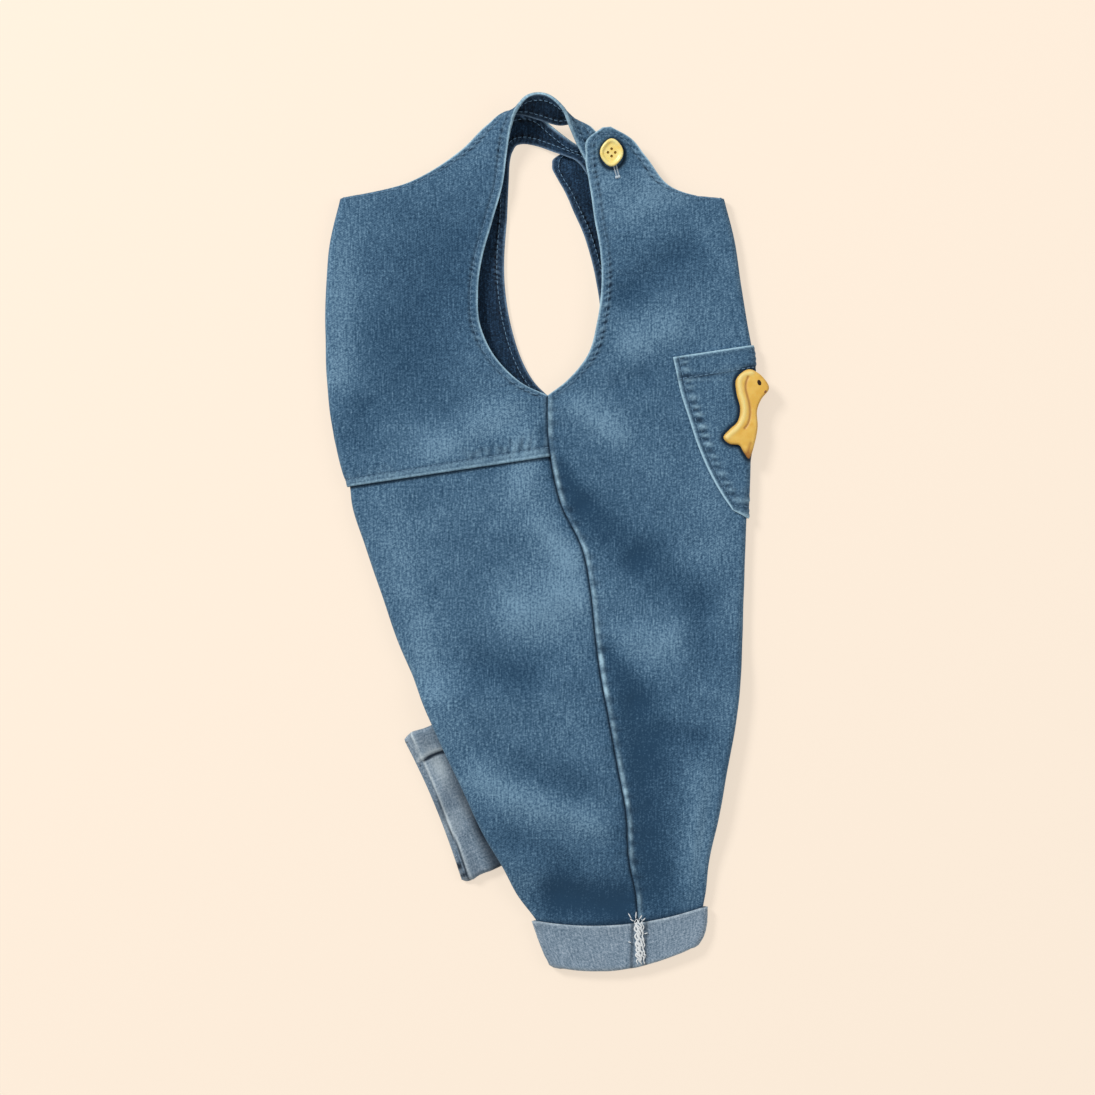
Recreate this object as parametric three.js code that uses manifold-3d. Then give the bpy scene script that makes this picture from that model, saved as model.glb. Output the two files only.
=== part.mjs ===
// Kids' denim dungarees, laid flat and folded in half along the centre back and the centre front.
// Millimetres, +X to the picture's right, +Y to the shoulders, +Z up off the surface they lie on.
// The near half is the upper one. The far half lies on the surface, its leg bent under the near leg.
import * as THREE from "three";
import Module from "manifold-3d";

// Sizes of the cloth
const WALL = 1.4;
const GAP = 0.3;
const STEP = WALL + GAP;
const HALF_GAP = GAP / 2;
const FOLD_SEAM = 0.36;
const HEM_WIDTH = 5;
const HEM_SLOPE = 1.5;
const HEM_EXTRA = 0.8;
const FLOOR = WALL / 2;

// Sizes of the fittings
const BUTTON_WIDTH = 16;
const BUTTON_HEIGHT = 19;
const BUTTON_THICK = 3.4;
const BUTTON_HOLE_R = 0.9;
const BUTTON_HOLE_PITCH = 2.5;
const BADGE_THICK = 2.6;
const FAR_BUTTON_AT = [33, 249];
const FAR_BUTTON_THICK = 2.8;

// How finely the surfaces are cut
const MIDDLE_COLUMNS = 6;
const UNDER_COLUMNS = 5;

// A table is a line of column names and one row of sizes for each section across the garment
function table(names, rows) {
  const keys = names.split(" ");
  return rows.map((row) => Object.fromEntries(keys.map((key, i) => [key, row[i]])));
}

// Front, near half: side edge (armhole, then side seam), then centre front edge or neckline
const FRONT_NEAR = table("sideX sideY sideZ edgeX edgeY edgeZ curl hem", [
  [35, 277, 16, 45, 278, 14.6, 0, 1],
  [29, 272, 16.4, 54, 273, 13.8, 0, 1],
  [26, 259, 15, 67, 259, 12.4, 0, 1],
  [28, 243, 13.2, 84, 241, 11, 0, 1],
  [30, 231, 12, 104, 232.5, 10, 0.15, 1],
  [32, 216, 11, 124, 226, 9.4, 1, 1],
  [36, 194, 10.4, 129, 200, 9.2, 1, 1],
  [37, 171, 10, 133, 172, 9.2, 1, 1],
  [34, 146, 9.6, 137, 147, 9.4, 1, 1],
  [27, 122, 9, 141, 124, 9.6, 1, 1],
  [13, 105, 8.6, 142, 106, 9.6, 1, 1],
  [0, 95, 8.2, 142, 91, 9.4, 1, 0],
  [0, 75, 7.9, 141, 72, 9.2, 1, 0],
  [2, 53, 7.8, 138, 50, 9, 1, 0],
  [9, 21, 7.6, 137, 19, 9, 1, 0],
  [24, -11, 7.9, 136, -14, 9.2, 1, 0],
  [30, -43, 8.6, 135, -44, 9.6, 1, 0],
  [33, -72, 9.6, 134, -73, 10.4, 1, 0],
]);

// Front, far half: its shoulder tab lies further back; below the neck it shares the near fold
const FRONT_FAR = table("sideX sideY sideZ edgeX edgeY edgeZ", [
  [13, 264, 0.7, 21, 264, 0.7],
  [6, 260, 0.7, 30, 260, 0.7],
  [3, 254, 0.7, 38, 252, 0.7],
  [6, 246, 0.7, 52, 241, 0.7],
  [12, 236, 0.7, 84, 233, 0.7],
  [17, 224, 0.7, 124, 226, 0.7],
  [26, 203, 0.7, 129, 200, 0.7],
  [33, 176, 0.7, 133, 172, 0.7],
  [36, 148, 0.7, 137, 147, 2.4],
  [29, 121, 0.7, 141, 124, 2.4],
  [14, 104, 0.7, 142, 106, 2.4],
  [0, 95, 0.7, 142, 91, 2.4],
  [0, 75, 0.7, 141, 72, 2.4],
  [2, 53, 0.7, 138, 50, 2.4],
  [9, 21, 0.7, 137, 19, 2.4],
  [24, -11, 0.7, 136, -14, 0.7],
  [30, -43, 0.7, 135, -44, 0.7],
  [33, -72, 0.7, 134, -73, 0.7],
]);

// Back bodice, near half: strap end under the tab, over the shoulder, then down to the yoke seam
const BACK_NEAR = table("sideX sideY sideZ edgeX edgeY edgeZ curl hem", [
  [30, 241, 10.3, 51, 252, 10.3, 0, 1],
  [26.5, 254, 11.3, 45, 263, 10.4, 0, 1],
  [20, 267, 15.5, 36, 272, 10.4, 0, 1],
  [15, 279, 22, 28, 280, 9.4, 0, 1],
  [11, 289, 28, 19, 283, 9, 0, 1],
  [4, 296, 30.5, 9, 281, 10.5, 0, 1],
  [-6, 299.5, 31, -5, 284, 13.5, 0, 1],
  [-15, 297, 30.5, -17, 288, 12.5, 0, 1],
  [-21, 290, 27, -29, 289, 10, 0, 1],
  [-25, 279, 19, -42, 280, 9, 0, 1],
  [-28, 262, 11.5, -60, 263, 8.6, 0, 1],
  [-31, 240, 9.8, -96, 241, 8.8, 0.15, 1],
  [-38, 215, 9.4, -143, 230, 9, 1, 1],
  [-45, 190, 9.2, -150, 200, 9, 1, 1],
  [-48, 165, 9, -153, 162, 9, 1, 1],
  [-46, 142, 8.8, -153, 130, 9, 1, 1],
  [-35, 120, 8.4, -152, 104, 9, 1, 1],
  [-17, 103, 8, -150, 83, 9, 1, 1],
  [0, 95, 7.8, -147, 65, 9.2, 1, 0],
  [0, 75, 7.8, -143, 48, 9.8, 1, 0],
  [2, 53, 8.4, -138, 32, 10.4, 1, 0],
]);

// Back bodice, far half
const BACK_FAR = table("sideX sideY sideZ edgeX edgeY edgeZ", [
  [31, 237, 6.6, 51, 247, 6.6],
  [27, 247, 6.6, 45, 257, 6.6],
  [20, 256, 6.7, 32, 264, 7.2],
  [12, 260, 6, 20, 267, 9.8],
  [5, 263, 3.8, 11, 273, 10.4],
  [-2, 266, 1.6, 2, 280, 10.4],
  [-9, 268, 0.9, -7, 284, 9.6],
  [-16, 269, 0.7, -17, 286, 7.6],
  [-21, 268, 0.7, -30, 283, 4.2],
  [-24, 264, 0.7, -42, 276, 1.6],
  [-26, 257, 0.7, -58, 263, 0.7],
  [-27, 241, 0.7, -96, 241, 0.7],
  [-28, 218, 0.7, -143, 230, 0.7],
  [-30, 190, 0.7, -150, 200, 0.7],
  [-29, 165, 0.7, -153, 162, 0.7],
  [-25, 142, 0.7, -153, 130, 0.7],
  [-18, 120, 0.7, -152, 104, 0.7],
  [-9, 104, 0.7, -150, 83, 0.7],
  [0, 95, 0.7, -147, 65, 0.7],
  [0, 75, 0.7, -143, 48, 0.7],
  [2, 53, 0.7, -138, 32, 0.7],
]);

// Back of the leg above the crotch: its top goes under the bodice at the yoke seam
const SEAT_NEAR = table("sideX sideY sideZ edgeX edgeY edgeZ edgeBase", [
  [1.2, 62, 6.1, -139, 44, 7.9, 2.4],
  [2, 53, 6.5, -136.3, 32, 8.2, 2.4],
  [4.2, 43, 6.9, -134, 21, 8.6, 2],
  [9, 21, 7.2, -126, -8, 9, 0.7],
  [24, -11, 7.5, -113, -46, 9.2, 0.7],
  [30, -43, 8.2, -103, -75, 9.8, 0.7],
  [33, -72, 9.2, -93, -98, 10.6, 0.7],
]);

// Near leg below the crotch, a flattened tube: side seam, front fold, back fold, hidden inseam
const LEG = table(
  "sideX sideY sideZ frontX frontY frontTop frontBase backX backY backTop backBase seamX seamY seamZ",
  [
    [33, -72, 9.6, 134, -73, 10.4, 0.7, -93, -98, 10.6, 0.7, 20, -80, 3],
    [36, -95, 11.4, 133, -96, 12.6, 5.2, -85, -119, 15.6, 8.9, 24, -106, 5.6],
    [42, -127, 12.2, 130, -127, 13.2, 5.2, -72, -148, 16, 9, 29, -137, 7.2],
    [48, -160, 12.6, 124, -160, 13.2, 5.2, -59, -175, 16.6, 9.2, 33, -167, 7.4],
    [54, -193, 12, 118, -194, 12.4, 4.8, -44, -207, 16.2, 9.2, 37, -199, 7.2],
    [56, -225, 10.4, 111, -226, 9.8, 2.6, -30, -231, 14.6, 8.2, 40, -228, 6],
    [61, -250, 8.2, 109, -246, 8.2, 2.2, -20, -250, 9.8, 3.8, 45, -249, 2.9],
    [62, -266, 6.8, 107, -257, 6.8, 2.4, -8, -266, 7, 2.4, 48, -265, 2.4],
    [63, -290, 6.6, 103, -280, 6.6, 2.4, 4, -292, 6.6, 2.4, 50, -290, 2.4],
  ],
);

// Turned-up cuffs: rows from the raised edge down to the fold and a short way up inside
const NEAR_CUFF = table("backX backY frontX frontY top base bow step", [
  [-12, -267, 112, -257, 8.7, 0.7, -7, 0],
  [-10.5, -272, 111.5, -262, 8.4, 0.7, -7, 0],
  [-5, -285, 110, -272, 8.3, 0.7, -7, 0],
  [0, -297, 107, -281, 8.2, 0.7, -7, 0],
  [1.6, -299.4, 106, -282.8, 7.8, 1, -7, 0],
  [3, -299.4, 104.4, -283.4, 7, 1.9, -7, 0],
  [3.6, -297, 103.8, -282.2, 6.6, 2.4, -7, 0],
]);
const FAR_CUFF = table("backX backY frontX frontY top base bow step", [
  [-69, -128, -30, -228, 6.8, 0.7, 0, 0],
  [-73, -129.5, -34, -230, 6.7, 0.7, 0, 1],
  [-85, -134, -46, -235, 6.6, 0.7, 1, 3],
  [-97, -139.5, -57, -239.5, 6.4, 0.7, 2, 5],
  [-98.4, -141.2, -58.6, -238.8, 5.8, 1, 2, 5],
  [-98, -142.8, -58.4, -237.4, 5, 1.9, 2, 5],
  [-95.6, -143.4, -56.6, -236, 4.6, 2.4, 2, 5],
]);

// Hidden layers of the far leg, from the crotch round the bent knee into the far cuff
const FAR_LEG = table("innerX innerY outerX outerY base top", [
  [-90, -103, 124, -80, 0, 1.5],
  [-80, -110, 115, -100, 0, 3.4],
  [-73, -116, 112, -130, 0, 4],
  [-68, -121, 100, -170, 0, 4],
  [-65, -126, 70, -204, 0, 4],
  [-63, -130, 22, -221, 0, 4.2],
  [-64, -133, -29, -222, 1.7, 4.8],
  [-76, -138, -41, -226, 1.8, 4.8],
  [-85, -142, -50, -229, 1.8, 4.6],
]);

// Half of the kangaroo pocket: heights down its side curve and how far the edge is across
const POCKET = table("sideX sideY foldY", [
  [86, 121, 129.5],
  [88, 112, 121],
  [91, 98, 108],
  [97, 79, 92],
  [104, 58, 74],
  [112, 40, 54],
  [120, 26, 35],
  [127, 16, 10],
]);

// Soft creases in the upper cloth: a straight run, its depth (below zero is a trough) and width
const CREASES = table("fromX fromY toX toY depth width", [
  [-120, 176, -70, 118, -0.7, 13],
  [-96, 214, -58, 168, 0.8, 15],
  [-128, 92, -60, 84, -0.6, 10],
  [62, 214, 104, 170, -0.7, 14],
  [56, 168, 66, 104, 0.7, 13],
  [-100, 6, -28, -22, -0.7, 14],
  [-30, 34, 0, -36, 0.8, 14],
  [40, 4, 52, -62, -0.9, 11],
  [44, -78, 62, -158, -1.1, 10],
  [82, -40, 96, -128, 0.8, 15],
  [-62, -96, -14, -152, 0.9, 16],
  [10, -120, 26, -206, -0.8, 12],
  [-14, -226, 50, -248, -1, 9],
  [70, -196, 92, -238, 0.7, 10],
]);

const v3 = (x, y, z) => new THREE.Vector3(x, y, z);
const mix = (a, b, f) => a + (b - a) * f;
const ease = (f) => f * f * (3 - 2 * f);

// Where a point lies on a section, measured from the outermost edge of the fold towards the side
function foldPoint(row, side, edgeZ, otherZ, along) {
  const radius = Math.abs(edgeZ - otherZ) / 2;
  const middle = (edgeZ + otherZ) / 2;
  const up = Math.sign(edgeZ - otherZ);
  const out = v3(row.edgeX - row.sideX, row.edgeY - row.sideY, 0).normalize();
  const centre = v3(row.edgeX, row.edgeY, 0).addScaledVector(out, -radius - WALL / 2);
  const quarter = (Math.PI * radius) / 2;
  if (along <= quarter) {
    const turn = along / radius;
    const point = centre.clone().addScaledVector(out, radius * Math.cos(turn));
    point.z = middle + up * radius * Math.sin(turn);
    return point;
  }
  const run = Math.hypot(side.x - centre.x, side.y - centre.y);
  const share = Math.min((along - quarter) / run, 1);
  const point = centre.clone().lerp(v3(side.x, side.y, 0), share);
  point.z = mix(edgeZ, side.z, ease(share));
  if (up > 0 && otherZ < edgeZ) point.z += relief(point.x, point.y) * ease(Math.min(share * 5, 1));
  return point;
}

function foldLength(row, side, edgeZ, otherZ) {
  const radius = Math.abs(edgeZ - otherZ) / 2;
  const out = v3(row.edgeX - row.sideX, row.edgeY - row.sideY, 0).normalize();
  const centre = v3(row.edgeX, row.edgeY, 0).addScaledVector(out, -radius - WALL / 2);
  return (Math.PI * radius) / 2 + Math.hypot(side.x - centre.x, side.y - centre.y);
}

// Height that the creases add to the upper cloth at a point
function relief(x, y) {
  let height = 0;
  for (const c of CREASES) {
    const [dx, dy] = [c.toX - c.fromX, c.toY - c.fromY];
    const length = Math.hypot(dx, dy);
    const share = ((x - c.fromX) * dx + (y - c.fromY) * dy) / length ** 2;
    const away = Math.abs((x - c.fromX) * dy - (y - c.fromY) * dx) / length;
    const ends = ease(Math.min(Math.max(Math.min(share, 1 - share) * 3 + 0.4, 0), 1));
    height += c.depth * ends * Math.exp(-((away / c.width) ** 2));
  }
  return height;
}

// Points across one half of a section, from the side to the fold or to a free hemmed edge
function halfSection(fold, half, otherZ, seamAtSide, seamAtFold) {
  const side = v3(half.sideX, half.sideY, half.sideZ);
  const edge = v3(half.edgeX, half.edgeY, half.edgeZ);
  const freeLength = side.distanceTo(edge);
  const length = foldLength(fold, side, half.edgeZ, otherZ);
  const quarter = (Math.PI * Math.abs(half.edgeZ - otherZ)) / 4;
  const start = seamAtSide * HALF_GAP;
  const end = seamAtFold * FOLD_SEAM;
  const free = [freeLength - start, freeLength - HEM_WIDTH, freeLength - HEM_WIDTH - HEM_SLOPE];
  const bent = [length - start, length - HEM_WIDTH, length - HEM_WIDTH - HEM_SLOPE];
  for (let i = 1; i <= MIDDLE_COLUMNS; i += 1) {
    const share = i / (MIDDLE_COLUMNS + 1);
    free.push(mix(freeLength - HEM_WIDTH - HEM_SLOPE, HEM_WIDTH + HEM_SLOPE, share));
    bent.push(mix(length - HEM_WIDTH - HEM_SLOPE, quarter, share));
  }
  free.push(HEM_WIDTH + HEM_SLOPE, HEM_WIDTH, HEM_WIDTH / 2, 0);
  bent.push(quarter, (quarter * 2) / 3, quarter / 3, end);
  return free.map((distance, i) => {
    const flat = edge.clone().lerp(side, distance / freeLength);
    if (fold.curl === 0) return flat;
    return flat.lerp(foldPoint(fold, side, half.edgeZ, otherZ, bent[i]), fold.curl);
  });
}

// How much of the hem's turned-in cloth is at each column of a section
function hemShares(fold) {
  const atEdge = fold.hem * (1 - fold.curl);
  const shares = [fold.hem, fold.hem, 0];
  for (let i = 0; i < MIDDLE_COLUMNS; i += 1) shares.push(0);
  return shares.concat([0, atEdge, atEdge, atEdge]);
}

// A surface is a bag of points and faces; points that meet are shared
class Surface {
  constructor() {
    this.points = [];
    this.inside = [];
    this.faces = [];
    this.index = new Map();
  }

  add(point, inside) {
    const key = [point.x, point.y, point.z].map((n) => Math.round(n * 1000)).join(" ");
    if (!this.index.has(key)) {
      this.index.set(key, this.points.length);
      this.points.push(point.clone());
      this.inside.push(inside);
    }
    return this.index.get(key);
  }

  face(a, b, c) {
    if (a !== b && b !== c && c !== a) this.faces.push([a, b, c]);
  }

  // Rows of points make quads; flip turns the outer face the other way
  grid(rows, insides, flip, closed) {
    const ids = rows.map((row, i) => row.map((point, j) => this.add(point, insides[i][j])));
    for (let i = 0; i + 1 < rows.length; i += 1) {
      const count = closed ? rows[i].length : rows[i].length - 1;
      for (let j = 0; j < count; j += 1) {
        const k = (j + 1) % rows[i].length;
        const quad = [ids[i][j], ids[i][k], ids[i + 1][k], ids[i + 1][j]];
        if (flip) quad.reverse();
        this.face(quad[0], quad[1], quad[2]);
        this.face(quad[0], quad[2], quad[3]);
      }
    }
    return this;
  }

  normals() {
    const sum = this.points.map(() => v3(0, 0, 0));
    for (const [a, b, c] of this.faces) {
      const [p, q, r] = [this.points[a], this.points[b], this.points[c]];
      const cross = q.clone().sub(p).cross(r.clone().sub(p)).normalize();
      const corner = (o, s, e) => s.clone().sub(o).angleTo(e.clone().sub(o));
      sum[a].addScaledVector(cross, corner(p, q, r));
      sum[b].addScaledVector(cross, corner(q, r, p));
      sum[c].addScaledVector(cross, corner(r, p, q));
    }
    return sum.map((normal) => normal.normalize());
  }

  // The wall: an outer face, an inner face and a rim along every free edge
  wall() {
    const normals = this.normals();
    const outer = this.points.map((p, i) => p.clone().addScaledVector(normals[i], WALL / 2));
    const inner = this.points.map((p, i) =>
      p.clone().addScaledVector(normals[i], -WALL / 2 - this.inside[i] * HEM_EXTRA));
    const count = outer.length;
    const indices = [];
    const used = new Set(this.faces.flatMap(([a, b, c]) => [`${a} ${b}`, `${b} ${c}`, `${c} ${a}`]));
    for (const [a, b, c] of this.faces) {
      indices.push(a, b, c, count + c, count + b, count + a);
      for (const [from, to] of [[a, b], [b, c], [c, a]]) {
        if (used.has(`${to} ${from}`)) continue;
        indices.push(to, from, count + from, to, count + from, count + to);
      }
    }
    const geometry = new THREE.BufferGeometry();
    const flat = outer.concat(inner).flatMap((p) => [p.x, p.y, p.z]);
    geometry.setAttribute("position", new THREE.Float32BufferAttribute(flat, 3));
    geometry.setIndex(indices);
    return geometry;
  }
}

const group = new THREE.Group();
group.name = "kids_dungarees";

function addPart(name, geometry, slot, colour) {
  const material = new THREE.MeshStandardMaterial({ color: colour, roughness: 0.85 });
  material.name = slot;
  const mesh = new THREE.Mesh(geometry, material);
  mesh.name = name;
  group.add(mesh);
}

const DENIM = 0x46678a;
const DENIM_BACK = 0x7d91a0;
const YELLOW = 0xf0d76e;

// The far tab is lifted over the button that lies under it
function overButton(point) {
  const far = Math.hypot(point.x - FAR_BUTTON_AT[0], point.y - FAR_BUTTON_AT[1]);
  const lift = FAR_BUTTON_THICK + GAP + 0.3;
  const share = 1 - ease(Math.min(Math.max((far - 21) / 12, 0), 1));
  return Math.max(point.z, mix(point.z, FLOOR + lift, share));
}

// Where the side curve of the pocket is at a height, and how far outside the pocket a point is
function alongTable(rows, key, at, wanted) {
  const last = rows.length - 1;
  if (at >= rows[0][key]) return rows[0][wanted];
  if (at <= rows[last][key]) return rows[last][wanted];
  const i = rows.findIndex((row, k) => k > 0 && at >= row[key]);
  const share = (rows[i - 1][key] - at) / (rows[i - 1][key] - rows[i][key]);
  return mix(rows[i - 1][wanted], rows[i][wanted], share);
}

function outsidePocket(x, y) {
  const toSide = alongTable(POCKET, "sideY", y, "sideX") - x;
  return Math.max(toSide, y - POCKET[0].foldY, POCKET[POCKET.length - 1].sideY - y);
}

// The far front lies on the pocket's far half, so it is one cloth higher there
function overPocket(point) {
  const share = 1 - ease(Math.min(Math.max((outsidePocket(point.x, point.y) - 15) / 14, 0), 1));
  return Math.max(point.z, mix(point.z, FLOOR + STEP, share));
}

// Front panels, from the shoulder tab to the crotch
const nearFront = new Surface();
const nearRows = FRONT_NEAR.map((row, i) => {
  const seam = i >= 11 ? 1 : 0;
  return halfSection(row, row, FRONT_FAR[i].edgeZ, seam, row.curl);
});
nearFront.grid(nearRows, FRONT_NEAR.map(hemShares), true);

const farFront = new Surface();
const farRows = FRONT_FAR.map((row, i) => {
  const seam = i >= 11 ? 1 : 0;
  const fold = FRONT_NEAR[i];
  const points = halfSection(fold, row, fold.edgeZ, seam, fold.curl);
  for (const point of points) point.z = Math.max(overButton(point), overPocket(point));
  return points;
});
farFront.grid(farRows, FRONT_NEAR.map(hemShares), false);

// Tube of the near leg: the top layer joins the panel above, the under layer starts at the crotch
function legHalf(row, first, name) {
  const fold = {
    edgeX: row[`${name}X`],
    edgeY: row[`${name}Y`],
    sideX: row.sideX,
    sideY: row.sideY,
    curl: 1,
    hem: 0,
  };
  const top = row[`${name}Top`];
  const base = row[`${name}Base`];
  const half = { ...fold, sideZ: row.sideZ, edgeZ: top };
  const points = halfSection(fold, half, base, 1, first ? 1 : 0);
  const last = points[points.length - 1];
  const seam = v3(row.seamX, row.seamY, row.seamZ);
  const under = { ...fold, sideX: row.seamX, sideY: row.seamY };
  const quarter = (Math.PI * (top - base)) / 4;
  const length = foldLength(fold, seam, base, top) - HALF_GAP;
  const stops = [quarter / 3, (quarter * 2) / 3, quarter];
  for (let i = 1; i <= UNDER_COLUMNS; i += 1) stops.push(mix(quarter, length, i / UNDER_COLUMNS));
  for (const stop of stops) {
    points.push(first ? last.clone() : foldPoint(fold, seam, base, top, stop));
  }
  return points;
}

function legShares() {
  return Array(7 + MIDDLE_COLUMNS + 3 + UNDER_COLUMNS).fill(0);
}

const frontLeg = LEG.map((row, i) => legHalf(row, i === 0, "front"));
nearFront.grid(frontLeg, LEG.map(legShares), true);
addPart("near_front_panel", nearFront.wall(), "denim", DENIM);
addPart("far_front_panel", farFront.wall(), "denim", DENIM);

// Back bodice: both halves and both shoulder straps in one piece, folded at the centre back
const bodice = new Surface();
bodice.grid(
  BACK_NEAR.map((row, i) => halfSection(row, row, BACK_FAR[i].edgeZ, i >= 18 ? 1 : 0, 0)),
  BACK_NEAR.map(hemShares),
  false,
);
bodice.grid(
  BACK_FAR.map((row, i) => halfSection(BACK_NEAR[i], row, BACK_NEAR[i].edgeZ, i >= 18 ? 1 : 0, 0)),
  BACK_NEAR.map(hemShares),
  true,
);
addPart("back_bodice", bodice.wall(), "denim", DENIM);

// Back of the leg: the seat above the crotch, then the back of the near leg tube
const seatNear = SEAT_NEAR.map((row) => {
  const fold = { ...row, curl: 1, hem: 0 };
  return halfSection(fold, fold, row.edgeBase, 1, 1);
});
const nearBack = new Surface();
const noHem = (rows) => rows.map((row) => row.map(() => 0));
nearBack.grid(seatNear, noHem(seatNear), false);
const backLeg = LEG.map((row, i) => legHalf({ ...row, sideZ: row.sideZ - 0.4 }, i === 0, "back"));
nearBack.grid(backLeg, noHem(backLeg), false);
addPart("near_back_leg", nearBack.wall(), "denim", DENIM);

const seatFar = SEAT_NEAR.map((row) => {
  const fold = { ...row, curl: 1, hem: 0 };
  const half = { ...fold, sideZ: row.edgeBase, edgeZ: row.edgeBase };
  return halfSection(fold, half, row.edgeZ, 1, 1);
});
const farBack = new Surface();
farBack.grid(seatFar, noHem(seatFar), true);
addPart("far_back_leg", farBack.wall(), "denim", DENIM);

// A flattened loop: along the top from back to front, round the fold, back along the underside
function flatLoop(row, count, turns) {
  const back = v3(row.backX, row.backY, 0);
  const front = v3(row.frontX, row.frontY, 0);
  const out = front.clone().sub(back).normalize();
  const down = v3(out.y, -out.x, 0);
  const radius = (row.top - row.base) / 2;
  const middle = (row.top + row.base) / 2;
  const from = back.clone().addScaledVector(out, radius + WALL / 2);
  const to = front.clone().addScaledVector(out, -radius - WALL / 2);
  const points = [];
  const put = (share, over, z) => {
    const point = from.clone().lerp(to, share).addScaledVector(out, over);
    const bow = -row.bow * 4 * share * (1 - share);
    point.addScaledVector(down, bow - row.step * ((z - row.base) / (row.top - row.base)));
    point.z = z;
    points.push(point);
  };
  for (let i = 0; i < count; i += 1) put(i / count, 0, row.top);
  for (let i = 0; i < turns; i += 1) {
    const turn = (Math.PI * i) / turns;
    put(1, radius * Math.sin(turn), middle + radius * Math.cos(turn));
  }
  for (let i = 0; i < count; i += 1) put(1 - i / count, 0, row.base);
  for (let i = 0; i < turns; i += 1) {
    const turn = (Math.PI * i) / turns;
    put(0, -radius * Math.sin(turn), middle - radius * Math.cos(turn));
  }
  return points;
}

function cuff(rows, flip) {
  const surface = new Surface();
  const loops = rows.map((row) => flatLoop(row, 10, 6));
  surface.grid(loops, noHem(loops), flip, true);
  return surface.wall();
}
addPart("near_cuff", cuff(NEAR_CUFF, false), "denim_wrong_side", DENIM_BACK);
addPart("far_cuff", cuff(FAR_CUFF, false), "denim_wrong_side", DENIM_BACK);

// The hidden layers share one rounded solid, with a groove between the layers at its bent edge
function layeredLoop(row, count) {
  const inner = v3(row.innerX, row.innerY, 0);
  const outer = v3(row.outerX, row.outerY, 0);
  const out = outer.clone().sub(inner).normalize();
  const height = row.top - row.base;
  const round = height * 0.55;
  const from = inner.clone().addScaledVector(out, round);
  const to = outer.clone().addScaledVector(out, -round);
  const points = [];
  const put = (share, over, level) => {
    const point = from.clone().lerp(to, share).addScaledVector(out, over * round);
    point.z = row.base + height * level;
    points.push(point);
  };
  for (let i = 0; i <= count; i += 1) put(i / count, 0, 1);
  for (const [over, level] of [[0.7, 0.9], [1, 0.72], [0.55, 0.5], [1, 0.28], [0.7, 0.1]]) {
    put(1, over, level);
  }
  for (let i = 0; i <= count; i += 1) put(1 - i / count, 0, 0);
  for (const [over, level] of [[0.7, 0.1], [1, 0.28], [0.55, 0.5], [1, 0.72], [0.7, 0.9]]) {
    put(0, -over, level);
  }
  return points;
}

function layeredSolid(rows) {
  const loops = rows.map((row) => layeredLoop(row, 8));
  const size = loops[0].length;
  const points = loops.flat();
  const indices = [];
  for (let i = 0; i + 1 < loops.length; i += 1) {
    for (let j = 0; j < size; j += 1) {
      const [a, b] = [i * size + j, i * size + ((j + 1) % size)];
      indices.push(a, b + size, b, a, a + size, b + size);
    }
  }
  for (const [i, turned] of [[0, false], [loops.length - 1, true]]) {
    const middle = new THREE.Vector3();
    for (const point of loops[i]) middle.addScaledVector(point, 1 / size);
    points.push(middle);
    for (let j = 0; j < size; j += 1) {
      const [a, b] = [i * size + j, i * size + ((j + 1) % size)];
      if (turned) indices.push(points.length - 1, b, a);
      else indices.push(points.length - 1, a, b);
    }
  }
  const geometry = new THREE.BufferGeometry();
  const flat = points.flatMap((p) => [p.x, p.y, p.z]);
  geometry.setAttribute("position", new THREE.Float32BufferAttribute(flat, 3));
  geometry.setIndex(indices);
  return geometry;
}
addPart("far_leg_layers", layeredSolid(FAR_LEG), "denim", DENIM);

// Kangaroo pocket: lies on the front, wraps round the centre front fold onto the far half
function heightOn(surface, x, y) {
  let highest = -Infinity;
  for (const [a, b, c] of surface.faces) {
    const [p, q, r] = [surface.points[a], surface.points[b], surface.points[c]];
    const area = (q.x - p.x) * (r.y - p.y) - (r.x - p.x) * (q.y - p.y);
    if (Math.abs(area) < 1e-6) continue;
    const u = ((x - p.x) * (r.y - p.y) - (r.x - p.x) * (y - p.y)) / area;
    const w = ((q.x - p.x) * (y - p.y) - (x - p.x) * (q.y - p.y)) / area;
    if (u < -1e-6 || w < -1e-6 || u + w > 1 + 1e-6) continue;
    highest = Math.max(highest, p.z + u * (q.z - p.z) + w * (r.z - p.z));
  }
  return highest;
}

function pocketRow(row) {
  const edgeX = alongTable(FRONT_NEAR, "edgeY", row.foldY, "edgeX") + STEP;
  const top = alongTable(FRONT_NEAR, "edgeY", row.foldY, "edgeZ") + STEP;
  const fold = { sideX: row.sideX, sideY: row.sideY, edgeX, edgeY: row.foldY };
  const radius = (top - FLOOR) / 2;
  const quarter = (Math.PI * radius) / 2;
  const near = v3(row.sideX, row.sideY, top);
  const far = v3(row.sideX, row.sideY, FLOOR);
  const length = foldLength(fold, near, top, FLOOR);
  const free = [length, length - 3, length - 4.5];
  for (let i = 1; i <= 4; i += 1) free.push(mix(length - 4.5, quarter, i / 4));
  const points = free.map((along) => {
    const point = foldPoint(fold, near, top, FLOOR, along);
    point.z = Math.min(heightOn(nearFront, point.x, point.y) + STEP + 0.06, top);
    return point;
  });
  for (const part of [3, 2, 1]) {
    points.push(foldPoint(fold, near, top, FLOOR, (quarter * part) / 4));
  }
  points.push(foldPoint(fold, near, top, FLOOR, 0));
  for (const part of [1, 2, 3]) {
    points.push(foldPoint(fold, far, FLOOR, top, (quarter * part) / 4));
  }
  for (const along of free.reverse()) points.push(foldPoint(fold, far, FLOOR, top, along));
  return points;
}

const pocket = new Surface();
const pocketRows = POCKET.map(pocketRow);
pocket.grid(pocketRows, noHem(pocketRows), true);
addPart("kangaroo_pocket", pocket.wall(), "denim", DENIM);

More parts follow.
